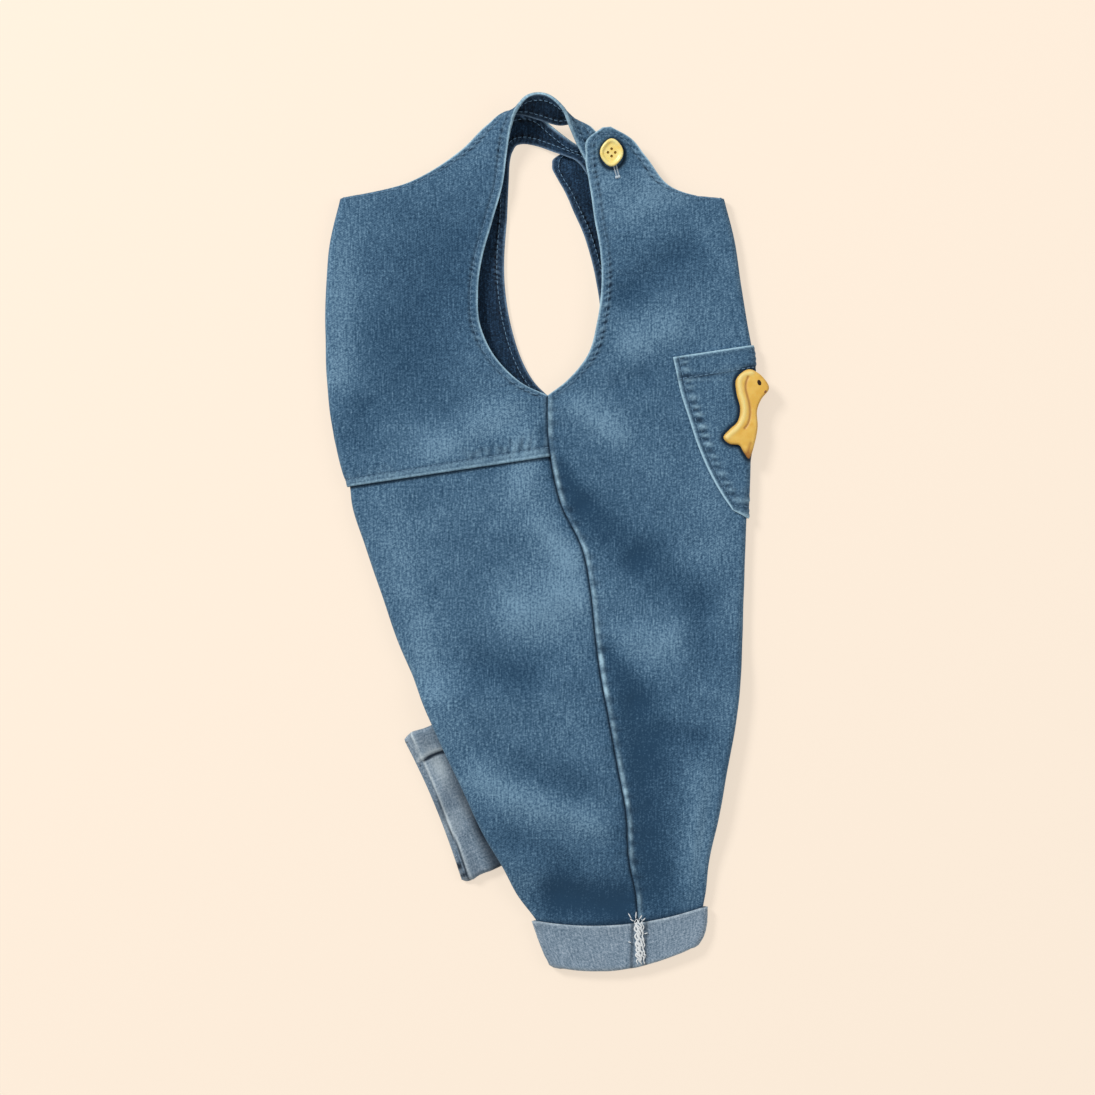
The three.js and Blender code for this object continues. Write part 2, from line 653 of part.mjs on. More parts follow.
// Buttons: a softly squared disc with a raised rim and four sewing holes
const wasm = await Module();
wasm.setup();

function toSolid(geometry) {
  const plain = geometry.index ? geometry : geometry.clone();
  return new wasm.Manifold(new wasm.Mesh({
    numProp: 3,
    vertProperties: new Float32Array(plain.getAttribute("position").array),
    triVerts: new Uint32Array(plain.index.array),
  }));
}

function toGeometry(solid) {
  const mesh = solid.getMesh();
  const geometry = new THREE.BufferGeometry();
  geometry.setAttribute("position", new THREE.Float32BufferAttribute(mesh.vertProperties, 3));
  geometry.setIndex(Array.from(mesh.triVerts));
  return geometry;
}

const BUTTON_PROFILE = table("across up", [
  [0, 0.62],
  [0.6, 0.62],
  [0.72, 0.72],
  [0.8, 1],
  [0.92, 1],
  [1, 0.72],
  [1, 0.3],
  [0.9, 0],
  [0, 0],
]);

function buttonSolid(width, height, thick, columns) {
  const points = [];
  const indices = [];
  const inner = BUTTON_PROFILE.slice(1, -1);
  const softSquare = (turn) => {
    const power = 2.5;
    const c = Math.abs(Math.cos(turn + Math.PI / 4)) ** power;
    const s = Math.abs(Math.sin(turn + Math.PI / 4)) ** power;
    return (c + s) ** (-1 / power);
  };
  const widest = softSquare(0);
  for (const { across, up } of inner) {
    for (let i = 0; i < columns; i += 1) {
      const turn = (2 * Math.PI * i) / columns;
      const reach = (across * softSquare(turn)) / widest;
      points.push((width / 2) * reach * Math.cos(turn), (height / 2) * reach * Math.sin(turn));
      points.push(up * thick);
    }
  }
  points.push(0, 0, BUTTON_PROFILE[0].up * thick, 0, 0, 0);
  const top = inner.length * columns;
  for (let i = 0; i < columns; i += 1) {
    const next = (i + 1) % columns;
    for (let k = 0; k + 1 < inner.length; k += 1) {
      const [a, b] = [k * columns + i, k * columns + next];
      indices.push(a, a + columns, b + columns, a, b + columns, b);
    }
    const low = (inner.length - 1) * columns;
    indices.push(top, i, next, top + 1, low + next, low + i);
  }
  const geometry = new THREE.BufferGeometry();
  geometry.setAttribute("position", new THREE.Float32BufferAttribute(points, 3));
  geometry.setIndex(indices);
  let solid = toSolid(geometry);
  for (let i = 0; i < 4; i += 1) {
    const turn = (Math.PI * i) / 2;
    const hole = wasm.Manifold.cylinder(thick * 3, BUTTON_HOLE_R, BUTTON_HOLE_R, 10, true);
    const across = BUTTON_HOLE_PITCH * Math.cos(turn);
    solid = solid.subtract(hole.translate(across, BUTTON_HOLE_PITCH * Math.sin(turn), 0));
  }
  return toGeometry(solid);
}

const NEAR_BUTTON_AT = [43.6, 261];
const NEAR_BUTTON_UNDER = 15.1;
const NEAR_BUTTON_TILT = [0.1, 0.065];
const nearButton = buttonSolid(BUTTON_WIDTH, BUTTON_HEIGHT, BUTTON_THICK, 32);
nearButton.rotateX(NEAR_BUTTON_TILT[0]);
nearButton.rotateY(NEAR_BUTTON_TILT[1]);
nearButton.translate(NEAR_BUTTON_AT[0], NEAR_BUTTON_AT[1], NEAR_BUTTON_UNDER);
addPart("near_button", nearButton, "button_plastic", YELLOW);

const farButton = buttonSolid(BUTTON_WIDTH, BUTTON_HEIGHT, FAR_BUTTON_THICK, 24);
farButton.rotateX(Math.PI);
farButton.translate(FAR_BUTTON_AT[0], FAR_BUTTON_AT[1], FAR_BUTTON_THICK);
addPart("far_button", farButton, "button_plastic", YELLOW);

// Badge: a little long-necked animal, rigid, standing a step out past the fold
const BADGE = table("x y", [
  [137, 112.5],
  [144.5, 110],
  [150.5, 103.5],
  [151.5, 98.5],
  [146.5, 92],
  [143.6, 84],
  [144, 73],
  [142, 62],
  [138.4, 51.5],
  [134.6, 55.5],
  [131.4, 60.4],
  [124.6, 61.6],
  [120.6, 66],
  [124.6, 71.2],
  [130.4, 77],
  [132, 86],
  [129.6, 96],
  [129.4, 106],
]);
const BADGE_UNDER = 12.3;
const badgeLine = new THREE.CatmullRomCurve3(BADGE.map((row) => v3(row.x, row.y, 0)), true);
const badgeShape = new THREE.Shape(badgeLine.getSpacedPoints(54).slice(0, -1).map(
  (p) => new THREE.Vector2(p.x, p.y),
));
const badge = new THREE.ExtrudeGeometry(badgeShape, {
  depth: BADGE_THICK - 1.4,
  bevelEnabled: true,
  bevelThickness: 0.7,
  bevelSize: 0.9,
  bevelOffset: -0.9,
  bevelSegments: 2,
  steps: 1,
});
badge.translate(0, 0, BADGE_UNDER + 0.7);
addPart("animal_badge", badge, "badge_rubber", YELLOW);

// The origin is under the middle of the outline, on the surface the garment lies on
const box = new THREE.Box3().setFromObject(group);
const middle = box.getCenter(new THREE.Vector3());
group.position.set(-middle.x, -middle.y, -box.min.z);

export default group;
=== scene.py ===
import math
import bpy
import numpy as np
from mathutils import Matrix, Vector
from mathutils.bvhtree import BVHTree
from mathutils.geometry import delaunay_2d_cdt, tessellate_polygon


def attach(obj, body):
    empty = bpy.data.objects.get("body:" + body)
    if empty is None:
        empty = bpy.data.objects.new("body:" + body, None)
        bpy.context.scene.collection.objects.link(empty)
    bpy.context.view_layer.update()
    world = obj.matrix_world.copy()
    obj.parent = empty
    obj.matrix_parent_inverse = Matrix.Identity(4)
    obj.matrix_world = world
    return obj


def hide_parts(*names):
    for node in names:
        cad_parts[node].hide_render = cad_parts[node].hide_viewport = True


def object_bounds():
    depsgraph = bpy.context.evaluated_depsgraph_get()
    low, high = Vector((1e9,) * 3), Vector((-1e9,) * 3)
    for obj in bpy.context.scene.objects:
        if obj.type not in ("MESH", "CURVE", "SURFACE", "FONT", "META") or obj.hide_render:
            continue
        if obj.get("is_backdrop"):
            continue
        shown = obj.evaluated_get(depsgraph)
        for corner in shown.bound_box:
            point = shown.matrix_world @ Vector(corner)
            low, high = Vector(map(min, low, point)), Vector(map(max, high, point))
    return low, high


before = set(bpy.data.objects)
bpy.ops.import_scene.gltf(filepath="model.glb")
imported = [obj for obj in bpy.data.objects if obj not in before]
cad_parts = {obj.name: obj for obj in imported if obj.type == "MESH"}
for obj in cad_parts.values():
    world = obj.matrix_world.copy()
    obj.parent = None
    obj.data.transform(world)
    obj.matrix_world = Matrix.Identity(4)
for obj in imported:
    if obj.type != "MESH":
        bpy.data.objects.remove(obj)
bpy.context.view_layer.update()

# Kids' denim dungarees laid flat, folded at the centre back and the centre front.
# Sizes are in millimetres until a mesh is made. A row of a table is a section of the garment:
# that of its solid, or within a few millimetres of it where the photograph asked for more.

MM = 0.001
SHIFT = np.array([0.766, 0.436, 0.0])  # from the drawing's middle to the frame's
WALL = 1.4  # the denim
GAP = 0.3  # between two layers
STEP = WALL + GAP
HEM_WIDTH = 5.0  # from an edge to its row of stitches
HEM_EXTRA = 0.8  # how much thicker the turned hem is
FLOOR = WALL / 2  # the middle of a cloth that lies on the floor
FOLD_SEAM = 0.2
NEAR_BUTTON_AT = (43.6, 261, 15.1)
FAR_BUTTON_AT = (33, 249)
FAR_BUTTON_THICK = 2.8


def table(names, rows):
    values = np.array(rows, float)
    return {name: values[:, i].copy() for i, name in enumerate(names.split())}


FRONT_NEAR = table("sideX sideY sideZ edgeX edgeY edgeZ curl hem", [
    [38, 278.2, 16, 43, 278.6, 15, 0, 1],
    [29, 272, 16.4, 54, 273, 13.8, 0, 1],
    [26, 259, 15, 67, 259, 12.4, 0, 1],
    [28, 243, 13.2, 84, 238.5, 11, 0, 1],
    [30, 231, 12, 103, 231.6, 10, 0.15, 1],
    [32, 216, 11, 121.6, 230, 9.4, 1, 1],
    [36, 194, 10.4, 129, 200, 9.2, 1, 1],
    [37, 171, 10, 133, 172, 9.2, 1, 1],
    [34, 146, 9.6, 137, 147, 9.4, 1, 1],
    [27, 122, 9, 141, 124, 9.6, 1, 1],
    [13, 105, 8.6, 142, 106, 9.6, 1, 1],
    [0, 95, 8.2, 142, 91, 9.4, 1, 1],
    [0, 75, 7.9, 141, 72, 9.2, 1, 0],
    [2, 53, 7.8, 138, 50, 9, 1, 0],
    [9, 21, 7.6, 137, 19, 9, 1, 0],
    [24, -11, 7.9, 136, -14, 9.2, 1, 0],
    [30, -43, 8.6, 135, -44, 9.6, 1, 0],
    [33, -72, 9.6, 134, -73, 10.4, 1, 0],
])
FRONT_FAR = table("sideX sideY sideZ edgeX edgeY edgeZ", [
    [13, 264, 0.7, 21, 264, 0.7],
    [6, 260, 0.7, 30, 260, 0.7],
    [3, 254, 0.7, 38, 252, 0.7],
    [6, 246, 0.7, 52, 241, 0.7],
    [12, 236, 0.7, 84, 233, 0.7],
    [17, 224, 0.7, 121.6, 230, 0.7],
    [26, 203, 0.7, 129, 200, 0.7],
    [33, 176, 0.7, 133, 172, 0.7],
    [36, 148, 0.7, 137, 147, 2.4],
    [29, 121, 0.7, 141, 124, 2.4],
    [14, 104, 0.7, 142, 106, 2.4],
    [0, 95, 0.7, 142, 91, 2.4],
    [0, 75, 0.7, 141, 72, 2.4],
    [2, 53, 0.7, 138, 50, 2.4],
    [9, 21, 0.7, 137, 19, 2.4],
    [24, -11, 0.7, 136, -14, 0.7],
    [30, -43, 0.7, 135, -44, 0.7],
    [33, -72, 0.7, 134, -73, 0.7],
])
BACK_NEAR = table("sideX sideY sideZ edgeX edgeY edgeZ curl hem", [
    [30, 241, 10.3, 51, 252, 10.3, 0, 1],
    [26.5, 254, 11.3, 45, 263, 10.4, 0, 1],
    [20, 267, 15.5, 36, 272, 10.4, 0, 1],
    [15, 279, 22, 28, 280, 9.4, 0, 1],
    [11, 289, 28, 19, 283, 9, 0, 1],
    [4, 296, 30.5, 9, 281, 10.5, 0, 1],
    [-6, 299.5, 31, -5, 284, 13.5, 0, 1],
    [-15, 297, 30.5, -17, 288, 12.5, 0, 1],
    [-21, 290, 27, -29, 289, 10, 0, 1],
    [-25, 279, 19, -42, 280, 9, 0, 1],
    [-28, 262, 11.5, -60, 263, 8.6, 0, 1],
    [-31, 240, 9.8, -96, 241, 8.8, 0.15, 1],
    [-38, 215, 9.4, -143, 230, 9, 1, 1],
    [-45, 190, 9.2, -150, 200, 9, 1, 1],
    [-48, 165, 9, -153, 162, 9, 1, 1],
    [-46, 142, 8.8, -153, 130, 9, 1, 1],
    [-35, 120, 8.4, -152, 104, 9, 1, 1],
    [-17, 103, 8, -150, 83, 9, 1, 1],
    [0, 95, 7.8, -147, 65, 9.2, 1, 1],
    [0, 75, 7.8, -143, 48, 9.8, 1, 0],
    [2, 53, 8.4, -138, 32, 10.4, 1, 0],
])
BACK_FAR = table("sideX sideY sideZ edgeX edgeY edgeZ", [
    [31, 237, 6.6, 51, 247, 6.6],
    [27, 247, 6.6, 45, 257, 6.6],
    [20, 256, 6.7, 32, 264, 7.2],
    [12, 260, 6, 20, 267, 9.8],
    [5, 263, 3.8, 11, 273, 10.4],
    [-2, 266, 1.6, 2, 280, 10.4],
    [-9, 268, 0.9, -8, 288, 9.2],
    [-16, 269, 0.7, -18, 290.5, 7],
    [-21, 268, 0.7, -31, 287, 4.2],
    [-24, 264, 0.7, -42, 276, 1.6],
    [-26, 257, 0.7, -58, 263, 0.7],
    [-27, 241, 0.7, -96, 241, 0.7],
    [-28, 218, 0.7, -143, 230, 0.7],
    [-30, 190, 0.7, -150, 200, 0.7],
    [-29, 165, 0.7, -153, 162, 0.7],
    [-25, 142, 0.7, -153, 130, 0.7],
    [-18, 120, 0.7, -152, 104, 0.7],
    [-9, 104, 0.7, -150, 83, 0.7],
    [0, 95, 0.7, -147, 65, 0.7],
    [0, 75, 0.7, -143, 48, 0.7],
    [2, 53, 0.7, -138, 32, 0.7],
])
SEAT = table("sideX sideY sideZ edgeX edgeY edgeZ edgeBase", [
    [1.2, 62, 6.1, -139, 44, 7.9, 2.4],
    [2, 53, 6.5, -136.3, 32, 8.2, 2.4],
    [4.2, 43, 6.9, -135, 21, 8.6, 2],
    [9, 21, 7.2, -126, -8, 9, 0.7],
    [24, -11, 7.5, -113, -46, 9.2, 0.7],
    [30, -43, 8.2, -103, -75, 9.8, 0.7],
    [33, -72, 9.2, -93, -98, 10.6, 0.7],
])
LEG = table(
    "sideX sideY sideZ frontX frontY frontTop frontBase "
    "backX backY backTop backBase seamX seamY seamZ",
    [
        [33, -72, 9.6, 134, -73, 10.4, 0.7, -93, -98, 10.6, 0.7, 20, -80, 3],
        [36, -95, 11.4, 133, -96, 12.6, 5.2, -85, -119, 15.6, 8.9, 24, -106, 5.6],
        [42, -127, 12.2, 130, -127, 13.2, 5.2, -72, -148, 16, 9, 29, -137, 7.2],
        [48, -160, 12.6, 124, -160, 13.2, 5.2, -59, -175, 16.6, 9.2, 33, -167, 7.4],
        [54, -193, 12, 118, -194, 12.4, 4.8, -44, -207, 16.2, 9.2, 37, -199, 7.2],
        [56, -225, 10.4, 111, -226, 9.8, 2.6, -30, -231, 14.6, 8.2, 40, -228, 6],
        [61, -250, 8.2, 109, -246, 8.2, 2.2, -20, -250, 9.8, 3.8, 45, -249, 2.9],
        [62, -266, 6.8, 107, -257, 6.8, 2.4, -8, -266, 7, 2.4, 48, -265, 2.4],
        [63, -290, 6.6, 103, -280, 6.6, 2.4, 4, -292, 6.6, 2.4, 50, -290, 2.4],
    ],
)
NEAR_CUFF = table("backX backY frontX frontY top base bow", [
    [-11, -267, 110, -257, 8.7, 0.7, -7],
    [-9.5, -272, 110.2, -262, 8.4, 0.7, -7],
    [-4.6, -285, 109, -273, 8.3, 0.7, -7],
    [-0.6, -293.6, 106, -280, 8.2, 0.7, -7.4],
    [3.4, -298.4, 102.4, -284, 7.9, 0.9, -7.4],
    [7, -299.4, 100.4, -284.6, 7, 1.9, -7],
    [7.6, -297.4, 99.6, -282.8, 6.6, 2.4, -7],
])
FAR_CUFF = table("backX backY frontX frontY top base bow", [
    [-69, -128, -30, -228, 6.8, 0.7, 0],
    [-73, -129.5, -34, -230, 6.7, 0.7, 0],
    [-85, -134, -46, -235, 6.6, 0.7, 1],
    [-97, -139.5, -57, -239.5, 6.4, 0.7, 2],
    [-98.4, -141.2, -58.6, -238.8, 5.6, 1, 2],
    [-98, -142.8, -58.4, -237.4, 4.0, 1.9, 2],
    [-95.6, -143.4, -56.6, -236, 3.0, 2.2, 2],
])
FAR_LEG = table("backX backY frontX frontY top base bow", [
    [-92, -99.6, 126, -76, 1.5, 0.7, 13],
    [-83, -108, 116, -98, 2.7, 0.7, 5],
    [-75, -115, 112, -130, 3.3, 0.7, 0],
    [-68, -121, 100, -170, 3.3, 0.7, 0],
    [-65, -126, 70, -204, 3.3, 0.7, 0],
    [-63, -130, 22, -221, 3.5, 0.7, 0],
    [-64, -133, -29, -222, 4.1, 2.4, 0],
    [-76, -138, -41, -226, 4.1, 2.5, 0],
    [-85, -142, -50, -229, 3.9, 2.5, 0],
])
POCKET = table("sideX sideY foldY", [
    [86, 121, 129.5],
    [88, 112, 121],
    [91, 98, 108],
    [97, 79, 92],
    [104, 58, 74],
    [112, 40, 54],
    [120, 26, 35],
    [127, 16, 10],
])

# Soft folds in the upper cloth: a straight run, its depth (below zero is a trough), its width,
# and how light (above zero) or dark it is painted: partly the wash's own paling and darkening,
# partly the painted light and shade of the fold
CREASES = table("fromX fromY toX toY depth width tone", [
    [-60, 228, -106, 92, -1.3, 30, -0.5],
    [-126, 96, -140, 60, -0.6, 11, -0.4],
    [-90, 52, -18, 90, 0.9, 10, 0.45],
    [-141, 208, -145, 92, 0.2, 11, 0.4],
    [-128, 92, -60, 84, -0.5, 9, -0.1],
    [44, 158, 102, 203, -1.3, 11, -0.55],
    [48, 128, 94, 144, 1, 11, 0.5],
    [34, 216, 78, 238, 0.5, 13, 0.45],
    [42, 101, 72, 109, -0.9, 7, -0.35],
    [16, 94, 54, 62, 1, 8, 0.6],
    [-14, 78, -18, 18, 1.1, 10, 0.55],
    [-3, 76, 4, 46, -1.3, 5, -0.8],
    [4, 48, 26, 16, -1.9, 7, -1.05],
    [22, 22, 66, -22, -2.4, 12, -0.75],
    [58, -12, 112, -52, -1.8, 12, -0.55],
    [106, -44, 110, -104, -0.9, 10, -0.3],
    [-34, -60, 32, -36, 1.5, 17, 0.7],
    [-56, -88, -2, -102, -1.5, 12, -0.55],
    [44, -74, 94, -72, 1.3, 11, 0.45],
    [36, -76, 66, -122, -2.2, 9, -0.8],
    [62, -112, 74, -262, -2.8, 15, -0.9],
    [-28, -154, 32, -178, -0.8, 8, -0.35],
    [-60, -160, -18, -184, 1.2, 9, 0.5],
    [-22, -182, 46, -204, 1.3, 9, 0.45],
    [-36, -202, 18, -232, -1.1, 9, -0.4],
    [-4, -246, 62, -258, -2.3, 12, -1.3],
    [106, -158, 98, -254, 1.5, 8, 0.42],
    [72, -134, 112, -141, -0.8, 8, -0.45],
    [-12, 16, 22, -24, 1.0, 8, 0.55],
    [34, 268, 40, 236, 0.2, 9, 0.35],
    [64, 256, 96, 228, 0.2, 8, 0.3],
    [-112, 22, -68, -138, 0.3, 10, 0.35],
    [108, 60, 122, -60, 0.5, 14, 0.15],
])

# Smaller folds and dents that run off the seams, each of its own length, depth and width
DENTS = table("fromX fromY toX toY depth width", [
    [3, 40, 20, 24, -0.5, 4],
    [10, 6, 34, -4, 0.45, 5],
    [24, -20, 44, -34, -0.5, 4.5],
    [20, -52, 33, -44, 0.5, 4],
    [33, -66, 50, -82, -0.6, 5],
    [20, -84, 35, -92, -0.5, 4],
    [39, -104, 58, -112, 0.45, 4.5],
    [28, -118, 41, -114, -0.5, 4],
    [44, -134, 66, -150, -0.6, 5],
    [32, -150, 46, -142, 0.5, 4.5],
    [50, -172, 70, -184, 0.5, 5],
    [36, -186, 51, -178, -0.5, 4],
    [54, -204, 72, -214, -0.6, 5],
    [42, -222, 57, -214, 0.5, 4],
    [57, -236, 80, -252, -0.6, 5],
    [30, -246, 60, -262, 0.6, 5],
    [84, -232, 106, -244, -0.6, 5],
    [98, -236, 108, -252, 0.5, 4],
    [-40, 60, -8, 74, 0.4, 6],
    [-112, 62, -90, 48, -0.4, 6],
    [-26, 88, -6, 60, -0.45, 5],
    [12, 92, 30, 70, 0.45, 6],
    [30, 118, 52, 96, -0.4, 6],
    [-142, 190, -118, 150, -0.4, 7],
    [108, 210, 126, 186, -0.4, 6],
    [60, 240, 84, 226, -0.35, 5],
    [-84, 232, -60, 214, 0.4, 6],
    [96, -4, 128, -26, -0.4, 7],
    [104, -70, 128, -96, 0.4, 7],
    [-118, -52, -92, -60, 0.4, 6],
    [-78, -122, -54, -128, -0.4, 6],
    [-50, -186, -24, -190, 0.4, 6],
])


def ease(f):
    """From 0 to 1, slow at both ends."""
    f = np.clip(f, 0, 1)
    return f * f * (3 - 2 * f)


def relief(x, y, creases, column="depth", wider=1.0):
    """Height, or another column, that soft creases add to the upper cloth at points."""
    height = np.zeros_like(x)
    for i in range(len(creases["depth"])):
        fx, fy = creases["fromX"][i], creases["fromY"][i]
        dx, dy = creases["toX"][i] - fx, creases["toY"][i] - fy
        length = math.hypot(dx, dy)
        share = ((x - fx) * dx + (y - fy) * dy) / length**2
        away = np.abs((x - fx) * dy - (y - fy) * dx) / length
        ends = ease(np.minimum(share, 1 - share) * 3 + 0.4)
        width = creases["width"][i] * wider
        height += creases[column][i] * ends * np.exp(-((away / width) ** 2))
    return height


def spline(rows, step, keep_sharp=(), linear=("curl", "hem"), fine_to=0):
    """The sections of a table at an even step, smooth from row to row and finer at the start."""
    keys = [k for k in ("sideX", "edgeX", "backX", "frontX") if k in rows]
    middle = sum(np.column_stack([rows[k], rows[k[:-1] + "Y"]]) for k in keys) / len(keys)
    gaps = np.maximum(np.linalg.norm(np.diff(middle, axis=0), axis=1), 1.0)
    knots = np.concatenate([[0], np.cumsum(gaps)])
    at = []
    for i, gap in enumerate(gaps):
        count = max(1, round(gap / (step * 0.5 if i < fine_to else step)))
        at.extend(knots[i] + gap * np.arange(count) / count)
    at = np.array(at + [knots[-1]])
    i = np.clip(np.searchsorted(knots, at, side="right") - 1, 0, len(knots) - 2)
    width = knots[i + 1] - knots[i]
    t = (at - knots[i]) / width
    out = {}
    for name, p in rows.items():
        if name in linear:
            out[name] = np.interp(at, knots, p)
            continue
        slope = np.diff(p) / gaps
        left, right = np.empty_like(p), np.empty_like(p)
        mid = (slope[:-1] * gaps[1:] + slope[1:] * gaps[:-1]) / (gaps[1:] + gaps[:-1])
        left[1:-1] = right[1:-1] = mid
        left[0] = right[0] = slope[0]
        left[-1] = right[-1] = slope[-1]
        for k in keep_sharp:
            left[k], right[k] = slope[k - 1], slope[k]
        a, b = p[i], p[i + 1]
        out[name] = (
            (2 * t**3 - 3 * t**2 + 1) * a
            + (t**3 - 2 * t**2 + t) * width * right[i]
            + (3 * t**2 - 2 * t**3) * b
            + (t**3 - t**2) * width * left[i + 1]
        )
    out["run"] = at
    out["mark"] = np.interp(at, knots, np.arange(len(knots)))
    return out


def row_of(rows, i):
    return {name: float(values[i]) for name, values in rows.items()}


def fold_centre(row, radius):
    """Which way a section points out of its fold, and the middle of the fold's bend."""
    out = np.array([row["edgeX"] - row["sideX"], row["edgeY"] - row["sideY"]])
    out = out / np.linalg.norm(out)
    return out, np.array([row["edgeX"], row["edgeY"]]) - out * (radius + WALL / 2)


def fold_point(row, side, edge_z, other_z, along):
    """Points on a section, measured from the outermost edge of the fold towards the side."""
    radius = abs(edge_z - other_z) / 2
    middle = (edge_z + other_z) / 2
    up = 1 if edge_z > other_z else -1
    out, centre = fold_centre(row, radius)
    quarter = math.pi * radius / 2
    turn = np.clip(along / radius, 0, math.pi / 2)
    run = math.hypot(side[0] - centre[0], side[1] - centre[1])
    share = np.clip((along - quarter) / run, 0, 1)
    bend = centre + np.outer(radius * np.cos(turn), out)
    flat = centre + np.outer(share, np.array(side[:2]) - centre)
    on_bend = along <= quarter
    xy = np.where(on_bend[:, None], bend, flat)
    z = edge_z + (side[2] - edge_z) * ease(share)
    if up > 0:
        small = relief(xy[:, 0], xy[:, 1], CREASES) + relief(xy[:, 0], xy[:, 1], DENTS)
        z = z + small * ease(share * 5)
    z = np.where(on_bend, middle + up * radius * np.sin(turn), z)
    return np.column_stack([xy, z])


def fold_length(row, side, edge_z, other_z):
    """The length of such a section, from the edge of its fold to its side."""
    radius = abs(edge_z - other_z) / 2
    _, centre = fold_centre(row, radius)
    return math.pi * radius / 2 + math.hypot(side[0] - centre[0], side[1] - centre[1])


def half_section(fold, half, other_z, columns, seam_at_side, seam_at_fold):
    """Points across half a section, and how far each is from the side and from the edge."""
    side = np.array([half["sideX"], half["sideY"], half["sideZ"]])
    edge = np.array([half["edgeX"], half["edgeY"], half["edgeZ"]])
    free_length = float(np.linalg.norm(side - edge))
    length = fold_length(fold, side, half["edgeZ"], other_z)
    even = np.linspace(1, 0, columns)
    share = even - 0.1 * np.sin(2 * math.pi * even)
    free = free_length * share
    bent = (length - seam_at_side) * share + seam_at_fold * (1 - share)
    flat = edge + np.outer(free / free_length, side - edge)
    curl = min(max(fold["curl"], 0), 1)
    if curl <= 0:
        return flat, free_length - free, free
    curved = fold_point(fold, side, half["edgeZ"], other_z, bent)
    total = free_length + (length - free_length) * curl
    return flat + (curved - flat) * curl, total * (1 - share), total * share


class Surface:
    """Grids of points that share the points where they meet, with facts for each point."""

    FACTS = ("u", "v", "hem", "seam", "free", "upper", "seed", "grainX", "grainY", "tone")

    def __init__(self):
        self.points, self.faces, self.grids, self.count = [], [], {}, 0
        self.facts = {name: [] for name in self.FACTS}

    def grid(self, name, points, facts, flip=False, closed=False):
        rows, columns = points.shape[:2]
        ids = self.count + np.arange(rows * columns).reshape(rows, columns)
        self.count += rows * columns
        self.points.append(points.reshape(-1, 3))
        usual = {"grainX": points[..., 0], "grainY": points[..., 1]}
        for key in self.FACTS:
            value = np.broadcast_to(facts.get(key, usual.get(key, 0.0)), (rows, columns))
            self.facts[key].append(value.reshape(-1).astype(float))
        around = np.concatenate([ids, ids[:, :1]], axis=1) if closed else ids
        quads = np.stack(
            [around[:-1, :-1], around[:-1, 1:], around[1:, 1:], around[1:, :-1]], axis=-1
        ).reshape(-1, 4)
        self.faces.append(quads[:, ::-1] if flip else quads)
        self.grids[name] = ids

    def weld(self):
        points = np.concatenate(self.points)
        keys = np.round(points * 50).astype(np.int64)
        _, first, back = np.unique(keys, axis=0, return_index=True, return_inverse=True)
        back = back.reshape(-1)
        self.p = points[first]
        self.f = {name: np.concatenate(v)[first] for name, v in self.facts.items()}
        self.grids = {name: back[ids] for name, ids in self.grids.items()}
        quads = back[np.concatenate(self.faces)]
        tris = np.concatenate([quads[:, [0, 1, 2]], quads[:, [0, 2, 3]]])
        whole = (quads != np.roll(quads, -1, axis=1)).all(axis=1)
        odd = tris[np.tile(~whole, 2)]
        good = (odd != np.roll(odd, -1, axis=1)).all(axis=1)
        self.quads, self.tris = quads[whole], odd[good]
        return self

    def crosses(self):
        """The quads and then the triangles, each with normals twice as long as its area."""
        for faces, (a, b, c, d) in ((self.quads, (0, 2, 1, 3)), (self.tris, (0, 1, 0, 2))):
            p = self.p[faces]
            yield faces, np.cross(p[:, b] - p[:, a], p[:, d] - p[:, c])

    def normals(self):
        """A normal for each point, in which a triangle counts half."""
        total = np.zeros_like(self.p)
        for faces, cross in self.crosses():
            sides = faces.shape[1]
            cross /= np.maximum(np.linalg.norm(cross, axis=1, keepdims=True), 1e-9)
            for k in range(sides):
                np.add.at(total, faces[:, k], cross * (1.0 if sides == 4 else 0.5))
        return total / np.maximum(np.linalg.norm(total, axis=1, keepdims=True), 1e-9)

    def rim(self):
        """Free edges of the surface, each as a pair of points in the face's order."""
        pairs = [self.quads[:, [k, (k + 1) % 4]] for k in range(4)]
        pairs += [self.tris[:, [k, (k + 1) % 3]] for k in range(3)]
        pairs = np.concatenate(pairs)
        count = len(self.p)
        forward = pairs[:, 0].astype(np.int64) * count + pairs[:, 1]
        backward = pairs[:, 1].astype(np.int64) * count + pairs[:, 0]
        return pairs[~np.isin(forward, backward)]


def smooth_noise(x, y, seed):
    """Slow uneven waves from a few sines, the same at every run."""
    return (
        np.sin(x * 1.0 + 1.7 * np.sin(y * 0.6 + seed) + seed * 2.1)
        + np.sin(y * 1.3 + 1.1 * np.sin(x * 0.8 - seed * 1.3) + seed)
        + 0.6 * np.sin((x + y) * 1.9 + seed * 3.7)
    ) / 2.6


def puckers(along, seed, pitch=4.9):
    """Small waves along a seam that the thread draws in: uneven in spacing and height."""
    phase = along * 2 * math.pi / pitch + 1.5 * np.sin(along / 17.0 + seed) + seed
    height = 0.65 + 0.35 * np.sin(along / 29 + seed) * np.sin(along / 11 - seed)
    return np.sin(phase + 0.9 * np.sin(phase * 0.37)) * height


def near_to(value, centre, width):
    """1 where a value is at a centre, and fading to 0 over a width on both sides."""
    return np.exp(-(((value - centre) / width) ** 2))


def hem_wave(surface):
    """The slanting puckers of a hem, as its thread draws them in."""
    return puckers(surface.f["v"] + 0.55 * np.minimum(surface.f["free"], 20), surface.f["seed"])


def hem_force(surface):
    """Where a hem's puckers are strong: in uneven stretches along it."""
    v, seed = surface.f["v"], surface.f["seed"]
    return np.clip(0.65 + 0.6 * smooth_noise(v / 24, seed + v / 60, 2.0), 0.3, 1.15)


